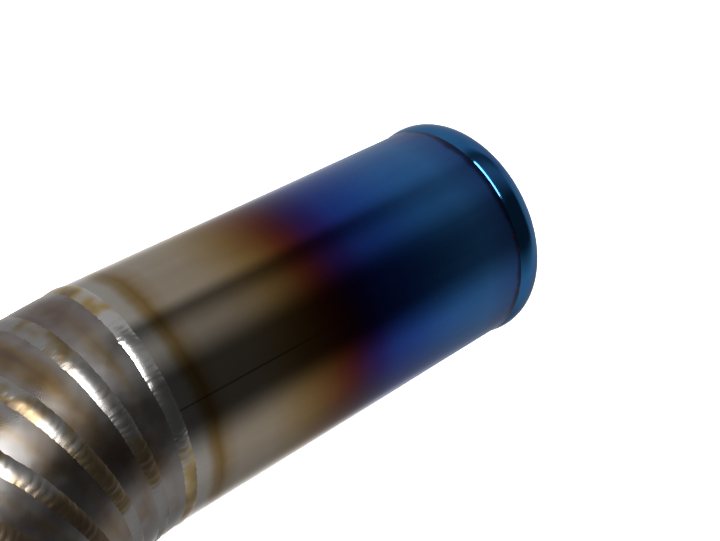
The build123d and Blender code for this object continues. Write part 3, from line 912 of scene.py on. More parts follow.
class PieceNodes:
    """Geometry Nodes tree with named inputs, run once for each piece that it makes."""

    NAME = ""
    INPUTS: tuple[tuple[str, str, object], ...] = ()

    def __init__(self) -> None:
        """Builds the tree once; every piece of its kind shares it."""
        self.tree = bpy.data.node_groups.new(self.NAME, "GeometryNodeTree")
        self.ids: dict[str, str] = {}
        face = self.tree.interface
        face.new_socket("Geometry", in_out="OUTPUT", socket_type="NodeSocketGeometry")
        for name, kind, default in self.INPUTS:
            socket = face.new_socket(name, in_out="INPUT", socket_type=kind)
            self.ids[name] = socket.identifier
            if default is not None:
                socket.default_value = default
        self.source = self.tree.nodes.new("NodeGroupInput")
        self.build()

    def add(self, kind: str, **inputs: object) -> bpy.types.Node:
        """Adds a node and fills its inputs.

        Args:
            kind: the node's type.
            inputs: values or sockets by input name, with underscores for spaces.

        Returns:
            The node.
        """
        node = self.tree.nodes.new(kind)
        for name, value in inputs.items():
            self.fill(node.inputs[name.replace("_", " ")], value)
        return node

    def fill(self, target: bpy.types.NodeSocket, value: object) -> None:
        """Sets an input to a value or links a socket to it.

        Args:
            target: the input.
            value: a value or a socket.
        """
        if isinstance(value, bpy.types.NodeSocket):
            self.tree.links.new(value, target)
        else:
            target.default_value = value

    def math(self, operation: str, first: object, second: object = 0.0) -> bpy.types.NodeSocket:
        """Adds a Math node.

        Args:
            operation: Blender's name of the operation.
            first: first value or socket.
            second: second value or socket.

        Returns:
            The node's output socket.
        """
        node = self.tree.nodes.new("ShaderNodeMath")
        node.operation = operation
        self.fill(node.inputs[0], first)
        self.fill(node.inputs[1], second)
        return node.outputs[0]

    def build(self) -> None:
        """Lays out the nodes; each kind of tree has its own."""
        raise NotImplementedError

    def bent_grid(self) -> tuple[bpy.types.Node, bpy.types.NodeSocket, bpy.types.NodeSocket]:
        """Adds the grid that a tree bends.

        Returns:
            The grid and its two coordinates, each from -0.5 to 0.5.
        """
        given = self.source.outputs
        grid = self.add("GeometryNodeMeshGrid", Size_X=1.0, Size_Y=1.0,
                        Vertices_X=given["Steps Round"], Vertices_Y=given["Steps Across"])
        position = self.add("GeometryNodeInputPosition").outputs["Position"]
        place = self.add("ShaderNodeSeparateXYZ", Vector=position)
        return grid, place.outputs["X"], place.outputs["Y"]

    def wrap(self, grid: bpy.types.Node, ahead: bpy.types.NodeSocket, radius: bpy.types.NodeSocket,
             sine: bpy.types.NodeSocket, cosine: bpy.types.NodeSocket) -> None:
        """Bends the grid round the X axis, closes its seams and gives it the finish.

        Args:
            grid: the grid node.
            ahead: place along the axis.
            radius: distance from the axis.
            sine: sine of the angle round the axis.
            cosine: its cosine.
        """
        where = self.add("ShaderNodeCombineXYZ", X=ahead, Y=self.math("MULTIPLY", radius, sine),
                         Z=self.math("MULTIPLY", radius, cosine))
        bent = self.add("GeometryNodeSetPosition", Geometry=grid.outputs["Mesh"], Position=where.outputs[0])
        closed = self.add("GeometryNodeMergeByDistance", Geometry=bent.outputs[0], Distance=1e-6)
        real = self.add("GeometryNodeRealizeInstances", Geometry=closed.outputs[0])
        dressed = self.add("GeometryNodeSetMaterial", Geometry=real.outputs[0],
                           Material=self.source.outputs["Finish"])
        self.tree.links.new(dressed.outputs[0], self.tree.nodes.new("NodeGroupOutput").inputs["Geometry"])

    def make(self, name: str, axle: Axle, values: dict[str, object]) -> bpy.types.Mesh:
        """Runs the tree once and returns its piece as a plain mesh.

        Args:
            name: the mesh's name.
            axle: the piece's axis and where it starts.
            values: the tree's named inputs.

        Returns:
            The mesh, in its place.
        """
        holder = new_piece("piece_maker", bpy.data.meshes.new("piece_maker"))
        modifier = holder.modifiers.new("piece", "NODES")
        modifier.node_group = self.tree
        for key, value in values.items():
            modifier[self.ids[key]] = value
        evaluated = holder.evaluated_get(bpy.context.evaluated_depsgraph_get())
        mesh = bpy.data.meshes.new_from_object(evaluated)
        mesh.name = name
        holder.modifiers.remove(modifier)
        bpy.data.objects.remove(holder)
        mesh.transform(axle.matrix())
        bm = bmesh.new()
        bm.from_mesh(mesh)
        bmesh.ops.recalc_face_normals(bm, faces=bm.faces)
        bm.to_mesh(mesh)
        bm.free()
        return mesh


class BeadNodes(PieceNodes):
    """Makes one rippled weld bead round a pipe.

    The bead is a grid bent round the X axis: its crown follows a cosine across the width, and each
    ripple is a shallow step whose edge bows back at the sides, as on a hand-fed weld. The drops lower
    one side of the bead where the metal there lies lower.
    """

    NAME = "ripple_weld_bead"
    BOW_IN_RIPPLES = 0.9
    WANDER_IN_RIPPLES = 3.0
    SLOW_SCALE = 5.0
    QUICK_SCALE = 34.0
    RISE_TO_ONE = 6.75
    INPUTS = (
        ("Radius", "NodeSocketFloat", 0.03),
        ("Width", "NodeSocketFloat", 0.005),
        ("Crown", "NodeSocketFloat", 0.0007),
        ("Sink", "NodeSocketFloat", 0.0002),
        ("Drop Before", "NodeSocketFloat", 0.0),
        ("Drop After", "NodeSocketFloat", 0.0),
        ("Ripples", "NodeSocketInt", 90),
        ("Ripple Depth", "NodeSocketFloat", 0.0002),
        ("Wander", "NodeSocketFloat", 0.0003),
        ("Seed", "NodeSocketInt", 1),
        ("Steps Round", "NodeSocketInt", 900),
        ("Steps Across", "NodeSocketInt", 15),
        ("Finish", "NodeSocketMaterial", None),
    )

    def build(self) -> None:
        """Lays out the nodes."""
        given = self.source.outputs
        grid, across, along = self.bent_grid()
        turn = self.math("ADD", across, 0.5)
        side = self.math("MULTIPLY", along, 2.0)
        angle = self.math("MULTIPLY", turn, 2 * math.pi)
        sine = self.math("SINE", angle)
        cosine = self.math("COSINE", angle)
        # Noise on a circle, so that the wander of the bead's edges and pitch closes on itself.
        circle = self.add("ShaderNodeCombineXYZ", X=sine, Y=cosine, Z=given["Seed"])
        slow = self.add("ShaderNodeTexNoise", Vector=circle.outputs[0],
                        Scale=self.SLOW_SCALE, Detail=2.0)
        quick = self.add("ShaderNodeTexNoise", Vector=circle.outputs[0],
                         Scale=self.QUICK_SCALE, Detail=1.0)
        slow_value = self.math("SUBTRACT", slow.outputs["Fac"], 0.5)
        quick_value = self.math("SUBTRACT", quick.outputs["Fac"], 0.5)
        squared = self.math("MULTIPLY", side, side)
        crown_shape = self.math("COSINE", self.math("MULTIPLY", side, math.pi / 2))
        # Ripple phase: the count round the pipe, bowed back towards the sides.
        phase = self.math("MULTIPLY", turn, given["Ripples"])
        phase = self.math("SUBTRACT", phase, self.math("MULTIPLY", squared, self.BOW_IN_RIPPLES))
        phase = self.math("ADD", phase, self.math("MULTIPLY", slow_value, self.WANDER_IN_RIPPLES))
        step = self.math("FRACT", phase)
        # Each ripple rises quickly and falls slowly: x (1 - x)^2, scaled to a height of one.
        left = self.math("SUBTRACT", 1.0, step)
        rise = self.math("MULTIPLY", self.math("MULTIPLY", left, left),
                         self.math("MULTIPLY", step, self.RISE_TO_ONE))
        ripple = self.math("MULTIPLY", rise, given["Ripple Depth"])
        ripple = self.math("MULTIPLY", ripple, crown_shape)
        crown = self.math("MULTIPLY", crown_shape, given["Crown"])
        crown = self.math("ADD", crown, self.math("MULTIPLY", quick_value,
                                                 self.math("MULTIPLY", crown_shape, given["Ripple Depth"])))
        radius = self.math("SUBTRACT", given["Radius"], given["Sink"])
        radius = self.math("ADD", radius, self.math("ADD", crown, ripple))
        before = self.math("MULTIPLY", self.math("MAXIMUM", self.math("MULTIPLY", side, -1.0), 0.0),
                           given["Drop Before"])
        after = self.math("MULTIPLY", self.math("MAXIMUM", side, 0.0), given["Drop After"])
        radius = self.math("SUBTRACT", radius, self.math("ADD", before, after))
        half = self.math("MULTIPLY", given["Width"], 0.5)
        edge = self.math("ADD", half, self.math("MULTIPLY", quick_value, given["Wander"]))
        ahead = self.math("MULTIPLY", side, edge)
        ahead = self.math("ADD", ahead, self.math("MULTIPLY", slow_value, given["Wander"]))
        self.wrap(grid, ahead, radius, sine, cosine)


class ThreadNodes(PieceNodes):
    """Makes a bolt's shank with a chamfered end and a helical thread cut into it."""

    NAME = "cut_thread"
    INPUTS = (
        ("Radius", "NodeSocketFloat", 0.004),
        ("Length", "NodeSocketFloat", 0.03),
        ("Plain", "NodeSocketFloat", 0.0),
        ("Pitch", "NodeSocketFloat", 0.00125),
        ("Depth", "NodeSocketFloat", 0.0006),
        ("Steps Round", "NodeSocketInt", 37),
        ("Steps Across", "NodeSocketInt", 200),
        ("Finish", "NodeSocketMaterial", None),
    )

    def build(self) -> None:
        """Lays out the nodes."""
        given = self.source.outputs
        grid, across, along = self.bent_grid()
        turn = self.math("ADD", across, 0.5)
        angle = self.math("MULTIPLY", turn, 2 * math.pi)
        # Each end takes a radius' worth of rows for its flat face.
        cap = given["Radius"]
        total = self.math("ADD", given["Length"], self.math("MULTIPLY", cap, 2.0))
        run = self.math("MULTIPLY", self.math("ADD", along, 0.5), total)
        ahead = self.math("MINIMUM", self.math("MAXIMUM", self.math("SUBTRACT", run, cap), 0.0),
                          given["Length"])
        from_end = self.math("MINIMUM", run, self.math("SUBTRACT", total, run))
        root = self.math("SUBTRACT", given["Radius"], given["Depth"])
        face = self.math("MULTIPLY", root, self.math("MINIMUM", self.math("DIVIDE", from_end, cap), 1.0))
        chamfer = self.math("MAXIMUM", self.math("SUBTRACT", from_end, cap), 0.0)
        step = self.math("FRACT", self.math("SUBTRACT", self.math("DIVIDE", ahead, given["Pitch"]), turn))
        flank = self.math("ABSOLUTE", self.math("SUBTRACT", self.math("MULTIPLY", step, 2.0), 1.0))
        started = self.math("DIVIDE", self.math("SUBTRACT", ahead, given["Plain"]), given["Pitch"])
        started = self.math("MINIMUM", self.math("MAXIMUM", started, 0.0), 1.0)
        cut = self.math("MULTIPLY", self.math("MULTIPLY", flank, given["Depth"]), started)
        threaded = self.math("SUBTRACT", given["Radius"], cut)
        radius = self.math("MINIMUM", self.math("ADD", face, chamfer), threaded)
        self.wrap(grid, ahead, radius, self.math("SINE", angle), self.math("COSINE", angle))


# ---------------------------------------------------------------------------------------------
# Sub-assemblies
# ---------------------------------------------------------------------------------------------


@dataclass
class TailGeometry:
    """Centre line of the tail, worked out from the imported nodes."""

    wedges: int = 5
    wedge_angle: float = math.radians(9.0)
    radius: float = 30.0 * MM
    wall: float = 1.2 * MM
    outlet_length: float = 106.5 * MM
    bend_radius: float = 75.0 * MM
    inner_side: float = math.radians(80.0)
    start: float = field(init=False)
    vertex_radius: float = field(init=False)

    def __post_init__(self) -> None:
        """Finds where the bend begins, the rear cone's far end, and how far out its joints lie."""
        self.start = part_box("rear_cone")[1].x
        self.vertex_radius = self.bend_radius / math.cos(self.wedge_angle / 2)

    def vertex(self, joint: int) -> Vector:
        """Finds the centre of a joint plane.

        Args:
            joint: the joint's number, counted from the can.

        Returns:
            The centre.
        """
        turn = joint * self.wedge_angle
        return Vector((self.start + self.vertex_radius * math.sin(turn),
                       self.vertex_radius * (math.cos(turn) - 1), 0.0))

    def direction(self, joint: float) -> Vector:
        """Returns the tail's direction at a joint plane, which may be between two joints."""
        turn = joint * self.wedge_angle
        return Vector((math.cos(turn), -math.sin(turn), 0.0))

    def view_axes(self) -> tuple[Vector, Vector]:
        """Finds the two directions that the studio is set up by.

        Returns:
            The outlet's facing direction, which is square to it and turned to the camera, and the
            direction across both.
        """
        end = self.outlet_end()
        toward_bend = end.along.cross(UP)
        other = end.along.cross(toward_bend)
        top = toward_bend * math.cos(self.inner_side) - other * math.sin(self.inner_side)
        return top, end.along.cross(top)

    def outlet_end(self) -> Axle:
        """Returns the outlet's axis, with its origin at the end of the straight tube."""
        along = self.direction(self.wedges)
        return Axle(self.vertex(self.wedges) + along * self.outlet_length, along)


@dataclass
class OutletPipe:
    """Straight heat-blued tube and its bull-nosed end ring."""

    tail: TailGeometry
    around: int = 288
    bore_radius: float = 25.0 * MM
    spigot: float = 24.0 * MM
    arc_radius: float = 6.7 * MM
    proud: float = 0.65 * MM
    centre_ahead: float = 3.4 * MM
    bore_round: float = 1.2 * MM
    nose_step: float = math.radians(4.0)
    corner_step: float = math.radians(12.0)
    seam_angle: float = math.radians(13.6)

    def tube_outline(self) -> Loop:
        """Draws the tube's wall.

        Returns:
            The outline, with distances counted from the tube's outlet end.
        """
        back = -self.tail.outlet_length
        outer = self.tail.radius
        inner = outer - self.tail.wall
        outside = [(s, outer) for s in stepped(back, 0.0, 2.0 * MM)]
        inside = [(s, inner) for s in stepped(0.0, back, 6.0 * MM)]
        return outside + inside

    def ring_outline(self) -> Loop:
        """Draws the end ring.

        Returns:
            The outline of its bull nose, rounded bore edge, bore and spigot.
        """
        centre = self.tail.radius + self.proud - self.arc_radius
        round_centre = self.bore_radius + self.bore_round
        reach = self.arc_radius - self.bore_round
        meet = math.asin((round_centre - centre) / reach)
        round_ahead = self.centre_ahead + reach * math.cos(meet)
        foot = math.pi - math.acos(self.centre_ahead / self.arc_radius)
        nose = [
            (self.centre_ahead + self.arc_radius * math.cos(a), centre + self.arc_radius * math.sin(a))
            for a in stepped(foot, meet, self.nose_step)
        ]
        corner = [
            (round_ahead + self.bore_round * math.cos(a), round_centre + self.bore_round * math.sin(a))
            for a in stepped(meet, -math.pi / 2, self.corner_step)[1:]
        ]
        inner_tube = self.tail.radius - self.tail.wall
        bore = [(s, self.bore_radius) for s in stepped(corner[-1][0], -self.spigot, 5.0 * MM)[1:]]
        return nose + corner + bore + [(-self.spigot, inner_tube), (0.0, inner_tube)]

    def from_seam(self, point: Vector, axle: Axle) -> float:
        """Measures how far round the tube a point lies from the long seam.

        Args:
            point: a point on the tube.
            axle: the outlet's axis.

        Returns:
            The distance, negative on one side of the seam.
        """
        top, side = self.tail.view_axes()
        spoke = point - axle.origin
        angle = math.atan2(spoke.dot(side), spoke.dot(top)) - self.seam_angle
        return math.remainder(angle, 2 * math.pi) * self.tail.radius

    def into_bore(self, point: Vector, axle: Axle) -> float:
        """Measures how far inside the ring's bore a point lies.

        Args:
            point: a point on the ring.
            axle: the outlet's axis.

        Returns:
            The depth from the nose's front, or 0 outside the bore.
        """
        spoke = point - axle.origin
        ahead = spoke.dot(axle.along)
        reach = (spoke - axle.along * ahead).length
        lip = self.centre_ahead + self.arc_radius
        return max(0.0, lip - ahead) if reach < self.bore_radius + self.bore_round else 0.0

    def build(self, finishes: Finishes) -> None:
        """Builds and dresses the tube and the ring.

        Args:
            finishes: the shared finishes.
        """
        axle = self.tail.outlet_end()
        along_tube = {
            "inward": lambda p: max(0.0, -(p - axle.origin).dot(axle.along)),
            "from_seam": lambda p: self.from_seam(p, axle),
        }
        tube_mesh = turned_mesh("outlet_tube_skin", axle, self.tube_outline(), self.around, along_tube)
        tube = new_piece("outlet_tube_skin", tube_mesh)
        finish_piece(tube, finishes.blued, ROOT, ("outlet_tube",))
        depth = {"into_bore": lambda p: self.into_bore(p, axle)}
        ring_mesh = turned_mesh("outlet_ring_skin", axle, self.ring_outline(), self.around, depth)
        ring = new_piece("outlet_ring_skin", ring_mesh)
        finish_piece(ring, finishes.ring, ROOT, ("outlet_ring",), crease=50.0)
        LOG.info("outlet: tube and end ring")


@dataclass
class PieCutBend:
    """Five wedges of tube welded into a 45 degree bend, with a rippled bead in every joint."""

    tail: TailGeometry
    beads: BeadNodes
    around: int = 240
    along_steps: int = 12
    bead_width: float = 5.1 * MM
    bead_crown: float = 0.40 * MM
    bead_sink: float = 0.20 * MM
    ripple_pitch: float = 2.0 * MM
    ripple_depth: float = 0.035 * MM
    dressed_ripple: float = 0.016 * MM
    bead_wander: float = 0.7 * MM
    bead_steps: int = 15
    steps_per_ripple: int = 10
    first_seed: int = 3
    shrink: float = 0.12 * MM
    shrink_reach: float = 4.0 * MM

    def wedge_mesh(self, index: int) -> bpy.types.Mesh:
        """Builds one wedge, drawn in a little beside each weld.

        Args:
            index: the wedge's number, counted from the can.

        Returns:
            The mesh.
        """
        near, far = self.tail.vertex(index), self.tail.vertex(index + 1)
        near_normal, far_normal = self.tail.direction(index), self.tail.direction(index + 1)
        chord = Axle((near + far) / 2, (far - near).normalized())
        outer, inner = self.tail.radius, self.tail.radius - self.tail.wall
        bm = bmesh.new()
        rings = []
        for step in range(self.around):
            angle = 2 * math.pi * step / self.around
            loop = []
            for radius, order in ((outer, 1), (inner, -1)):
                base = chord.point(0.0, radius, angle)
                ends = [
                    (plane - base).dot(normal) / chord.along.dot(normal)
                    for plane, normal in ((near, near_normal), (far, far_normal))
                ]
                for i in range(self.along_steps + 1)[::order]:
                    share = i / self.along_steps
                    ahead = ends[0] + (ends[1] - ends[0]) * share
                    edge = min(share, 1 - share) * (ends[1] - ends[0])
                    dip = self.shrink * math.exp(-((edge / self.shrink_reach) ** 2)) if order > 0 else 0.0
                    loop.append(bm.verts.new(chord.point(ahead, radius - dip, angle)))
            rings.append(loop)
        weld = {
            "from_weld": lambda p: min(abs((p - near).dot(near_normal)), abs((p - far).dot(far_normal)))
        }
        return ringed_mesh(f"pie_segment_{index + 1}_skin", bm, rings, weld)

    def build(self, finishes: Finishes) -> None:
        """Builds and dresses the wedges and their beads.

        Args:
            finishes: the shared finishes.
        """
        for index in range(self.tail.wedges):
            piece = new_piece(f"pie_segment_{index + 1}_skin", self.wedge_mesh(index))
            finish_piece(piece, finishes.welded, ROOT, (f"pie_segment_{index + 1}",), 40.0)
        for joint in range(self.tail.wedges + 1):
            axle = Axle(self.tail.vertex(joint), self.tail.direction(joint))
            last = joint == self.tail.wedges
            finish = finishes.bright_bead if last else finishes.bead
            depth = self.dressed_ripple if last else self.ripple_depth
            ripples = round(2 * math.pi * self.tail.radius / self.ripple_pitch)
            mesh = self.beads.make(
                f"bend_bead_{joint + 1}",
                axle,
                {
                    "Radius": self.tail.radius,
                    "Width": self.bead_width,
                    "Crown": self.bead_crown,
                    "Sink": self.bead_sink,
                    "Ripples": ripples,
                    "Ripple Depth": depth,
                    "Wander": self.bead_wander,
                    "Seed": self.first_seed + joint,
                    "Steps Round": ripples * self.steps_per_ripple + 1,
                    "Steps Across": self.bead_steps,
                    "Finish": finish,
                },
            )
            piece = new_piece(f"bend_bead_{joint + 1}", mesh)
            finish_piece(piece, finish, ROOT, (f"bend_weld_{joint + 1}",), 180.0)
        LOG.info("bend: %d wedges, %d beads", self.tail.wedges, self.tail.wedges + 1)


@dataclass
class CanAndCones:
    """Can shell, front cone and rear cone, with the beads that join them and the inlet sleeve."""

    tail: TailGeometry
    beads: BeadNodes
    around: int = 256
    can_radius: float = 50.0 * MM
    can_wall: float = 1.0 * MM
    cone_wall: float = 1.2 * MM
    spigot: float = 12.0 * MM
    neck_length: float = 10.0 * MM
    stub_length: float = 20.0 * MM
    sleeve_wall: float = 1.5 * MM
    knuckle: float = 7.0 * MM
    step: float = 1.6 * MM
    bead_width: float = 4.0 * MM
    bead_crown: float = 0.60 * MM
    bead_sink: float = 0.15 * MM
    ripple_pitch: float = 1.9 * MM
    ripple_depth: float = 0.05 * MM
    bead_wander: float = 0.4 * MM
    bead_steps: int = 13
    steps_per_ripple: int = 8
    first_seed: int = 20

    def wall(self, outer: Loop, thickness: float) -> Loop:
        """Returns the closed outline of a wall from its outer path, straight down to the inside."""
        path = divided(rounded(outer, self.knuckle), self.step)
        return path + [(s, r - thickness) for s, r in reversed(path)]

    def build(self, finishes: Finishes) -> None:
        """Builds and dresses the shell, cones and beads.

        Args:
            finishes: the shared finishes.
        """
        axle = Axle(Vector((0.0, 0.0, 0.0)), Vector((1.0, 0.0, 0.0)))
        neck_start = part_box("front_cone")[0].x
        can_start, can_end = (corner.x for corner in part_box("can_shell"))
        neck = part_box("inlet_gasket")[1].z
        sleeve_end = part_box("inlet_sleeve")[1].x
        tail_start, tail_radius = self.tail.start, self.tail.radius
        inner = self.can_radius - self.can_wall
        welds = [sleeve_end, can_start, can_end, tail_start]
        from_weld = {"from_weld": lambda p: min(abs(p.x - x) for x in welds)}
        shapes = {
            "front_cone": (
                [(neck_start, neck), (sleeve_end + self.neck_length, neck), (can_start, inner),
                 (can_start + self.spigot, inner)],
                self.cone_wall, finishes.welded, "titanium_tube",
            ),
            "can_shell": (
                [(can_start, self.can_radius), (can_end, self.can_radius)],
                self.can_wall, finishes.can, "can_titanium",
            ),
            "rear_cone": (
                [(can_end - self.spigot, inner), (can_end, inner),
                 (tail_start - self.stub_length, tail_radius), (tail_start, tail_radius)],
                self.cone_wall, finishes.welded, "titanium_tube",
            ),
        }
        for node, (outer, thickness, finish, slot) in shapes.items():
            mesh = turned_mesh(f"{node}_skin", axle, self.wall(outer, thickness), self.around, from_weld)
            finish_piece(new_piece(f"{node}_skin", mesh), finish, ROOT, (node,))
        front_drop = self.slope(neck, inner, can_start - sleeve_end - self.neck_length)
        rear_drop = self.slope(tail_radius, inner, tail_start - self.stub_length - can_end)
        self.bead("can_front_weld", can_start, self.can_radius, (front_drop, 0.0), finishes)
        self.bead("can_rear_weld", can_end, self.can_radius, (0.0, rear_drop), finishes)
        half = self.sleeve_wall / 2
        self.bead("inlet_weld", sleeve_end, neck + half, (-half, half), finishes)
        LOG.info("can: shell, two cones, three beads")

    def slope(self, low: float, high: float, length: float) -> float:
        """Returns how far a cone lies below the can at the edge of the bead there."""
        return self.can_radius - high + (high - low) / length * self.bead_width / 2

    def bead(self, node: str, x: float, radius: float, drops: tuple[float, float],
             finishes: Finishes) -> None:
        """Lays one bead round the can's axis.

        Args:
            node: the CAD node that it stands for.
            x: its place along the can.
            radius: radius of the joint.
            drops: how far the metal lies lower at the bead's two edges.
            finishes: the shared finishes.
        """
        ripples = round(2 * math.pi * radius / self.ripple_pitch)
        axle = Axle(Vector((x, 0.0, 0.0)), Vector((1.0, 0.0, 0.0)))
        mesh = self.beads.make(
            f"{node}_bead",
            axle,
            {
                "Radius": radius,
                "Width": self.bead_width,
                "Crown": self.bead_crown,
                "Sink": self.bead_sink,
                "Drop Before": drops[0],
                "Drop After": drops[1],
                "Ripples": ripples,
                "Ripple Depth": self.ripple_depth,
                "Wander": self.bead_wander,
                "Seed": self.first_seed + ripples,
                "Steps Round": ripples * self.steps_per_ripple + 1,
                "Steps Across": self.bead_steps,
                "Finish": finishes.bead,
            },
        )
        finish_piece(new_piece(f"{node}_bead", mesh), finishes.bead, ROOT, (node,), 180.0)


@dataclass
class BoltSet:
    """One hexagon bolt across a pair of ears, with its nut and two washers."""

    name: str
    threads: ThreadNodes
    flats: float = 13.0 * MM
    radius: float = 4.0 * MM
    head: float = 5.3 * MM
    washer: float = 1.6 * MM
    pitch: float = 1.25 * MM
    depth: float = 0.60 * MM
    chamfer_share: float = 0.95
    around: int = 72
    rows_per_pitch: int = 10
    thread_steps: int = 37
    plain_share: float = 0.35
    washer_bore_share: float = 1.06
    washer_edge: float = 0.25 * MM

    def hexagon(self, angle: float) -> float:
        """Returns the hexagon's radius at an angle."""
        sixth = math.pi / 3
        return self.flats / 2 / math.cos((angle + sixth / 2) % sixth - sixth / 2)

    def chamfer(self, angle: float) -> tuple[float, float, float]:
        """Works out the chamfer of the head or nut.

        Args:
            angle: angle round the bolt.

        Returns:
            The hexagon's radius there, the radius of its flat face, and how far the chamfer drops.
        """
        corner = self.hexagon(angle)
        flat = self.flats / 2 * self.chamfer_share
        return corner, flat, (corner - flat) * math.tan(math.pi / 6)

    def head_outline(self, angle: float) -> Loop:
        """Returns the head's outline at an angle, chamfered on its outer face."""
        corner, flat, drop = self.chamfer(angle)
        return [(0.0, 0.0), (0.0, corner), (self.head - drop, corner), (self.head, flat), (self.head, 0.0)]

    def nut_outline(self, height: float) -> Outline:
        """Draws the nut.

        Args:
            height: the nut's height.

        Returns:
            The function that gives the outline at an angle.
        """
        def outline(angle: float) -> Loop:
            """Draws the nut's outline.

            Args:
                angle: angle round the bolt.

            Returns:
                The outline there.
            """
            corner, flat, drop = self.chamfer(angle)
            lead = self.depth
            return [
                (lead, self.radius - lead), (0.0, self.radius), (0.0, flat), (drop, corner),
                (height - drop, corner), (height, flat), (height, self.radius),
                (height - lead, self.radius - lead),
            ]
        return outline

    def build(self, finishes: Finishes) -> None:
        """Builds and dresses the four pieces.

        Args:
            finishes: the shared finishes.
        """
        low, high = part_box(f"{self.name}_bolt")
        nut_low, nut_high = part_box(f"{self.name}_nut")
        centre = Vector(((low.x + high.x) / 2, 0.0, (low.z + high.z) / 2))
        seat = low.y + self.head
        forward = Vector((0.0, 1.0, 0.0))
        head = turned_mesh("head", Axle(centre + Vector((0.0, seat, 0.0)), -forward), self.head_outline,
                           self.around)
        length = high.y - seat
        shank = self.threads.make(
            "shank",
            Axle(centre + Vector((0.0, seat, 0.0)), forward),
            {
                "Radius": self.radius,
                "Length": length,
                "Plain": length * self.plain_share,
                "Pitch": self.pitch,
                "Depth": self.depth,
                "Steps Round": self.thread_steps,
                "Steps Across": round((length + 2 * self.radius) / self.pitch) * self.rows_per_pitch,
                "Finish": finishes.zinc,
            },
        )
        bolt = new_piece(f"{self.name}_bolt_skin", joined(f"{self.name}_bolt_skin", [head, shank]))
        finish_piece(bolt, finishes.zinc, ROOT, (f"{self.name}_bolt",), 25.0)
        nut_axle = Axle(centre + Vector((0.0, nut_low.y, 0.0)), forward)
        nut_shape = self.nut_outline(nut_high.y - nut_low.y)
        nut_mesh = turned_mesh(f"{self.name}_nut_skin", nut_axle, nut_shape, self.around)
        nut = new_piece(f"{self.name}_nut_skin", nut_mesh)
        finish_piece(nut, finishes.zinc, ROOT, (f"{self.name}_nut",), 25.0)
        self.build_washers(centre, forward, finishes)
        LOG.info("%s: bolt, nut and washers", self.name)

    def build_washers(self, centre: Vector, forward: Vector, finishes: Finishes) -> None:
        """Builds the two washers as one piece.

        Args:
            centre: a point on the bolt's axis.
            forward: the axis' direction.
            finishes: the shared finishes.
        """
        low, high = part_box(f"{self.name}_washers")
        outer, bore, edge = (high.z - low.z) / 2, self.radius * self.washer_bore_share, self.washer_edge
        outline = [
            (0.0, bore), (0.0, outer - edge), (edge, outer), (self.washer - edge, outer),
            (self.washer, outer - edge), (self.washer, bore),
        ]
        rings = [
            turned_mesh("washer", Axle(centre + Vector((0.0, y, 0.0)), forward), outline, self.around)
            for y in (low.y, high.y - self.washer)
        ]
        piece = new_piece(f"{self.name}_washers_skin", joined(f"{self.name}_washers_skin", rings))
        finish_piece(piece, finishes.zinc, ROOT, (f"{self.name}_washers",), 30.0)


@dataclass
class HangerBush:
    """Rubber bush with soft-edged flanges in the hanger plate."""

    around: int = 128
    edge: float = 1.1 * MM
    flange_overlap: float = 3.0 * MM

    def build(self, finishes: Finishes) -> None:
        """Builds and dresses the bush.

        Args:
            finishes: the shared finishes.
        """
        low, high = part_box("hanger_bush")
        sleeve_low, sleeve_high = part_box("hanger_sleeve")
        flange, bore = (high.z - low.z) / 2, (sleeve_high.z - sleeve_low.z) / 2
        plate_low, plate_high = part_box("hanger_plate")
        width, plate = high.y - low.y, plate_high.y - plate_low.y
        lip = (width - plate) / 2
        neck = flange - self.flange_overlap
        profile = rounded(
            [(0.0, bore), (0.0, flange), (lip, flange), (lip, neck), (width - lip, neck),
             (width - lip, flange), (width, flange), (width, bore)],
            self.edge,
        )
        centre = Vector(((low.x + high.x) / 2, low.y, (low.z + high.z) / 2))
        mesh = turned_mesh("hanger_bush_skin", Axle(centre, Vector((0.0, 1.0, 0.0))), profile, self.around)
        finish_piece(new_piece("hanger_bush_skin", mesh), finishes.rubber, ROOT,
                     ("hanger_bush",), 60.0)
        LOG.info("hanger: rubber bush")


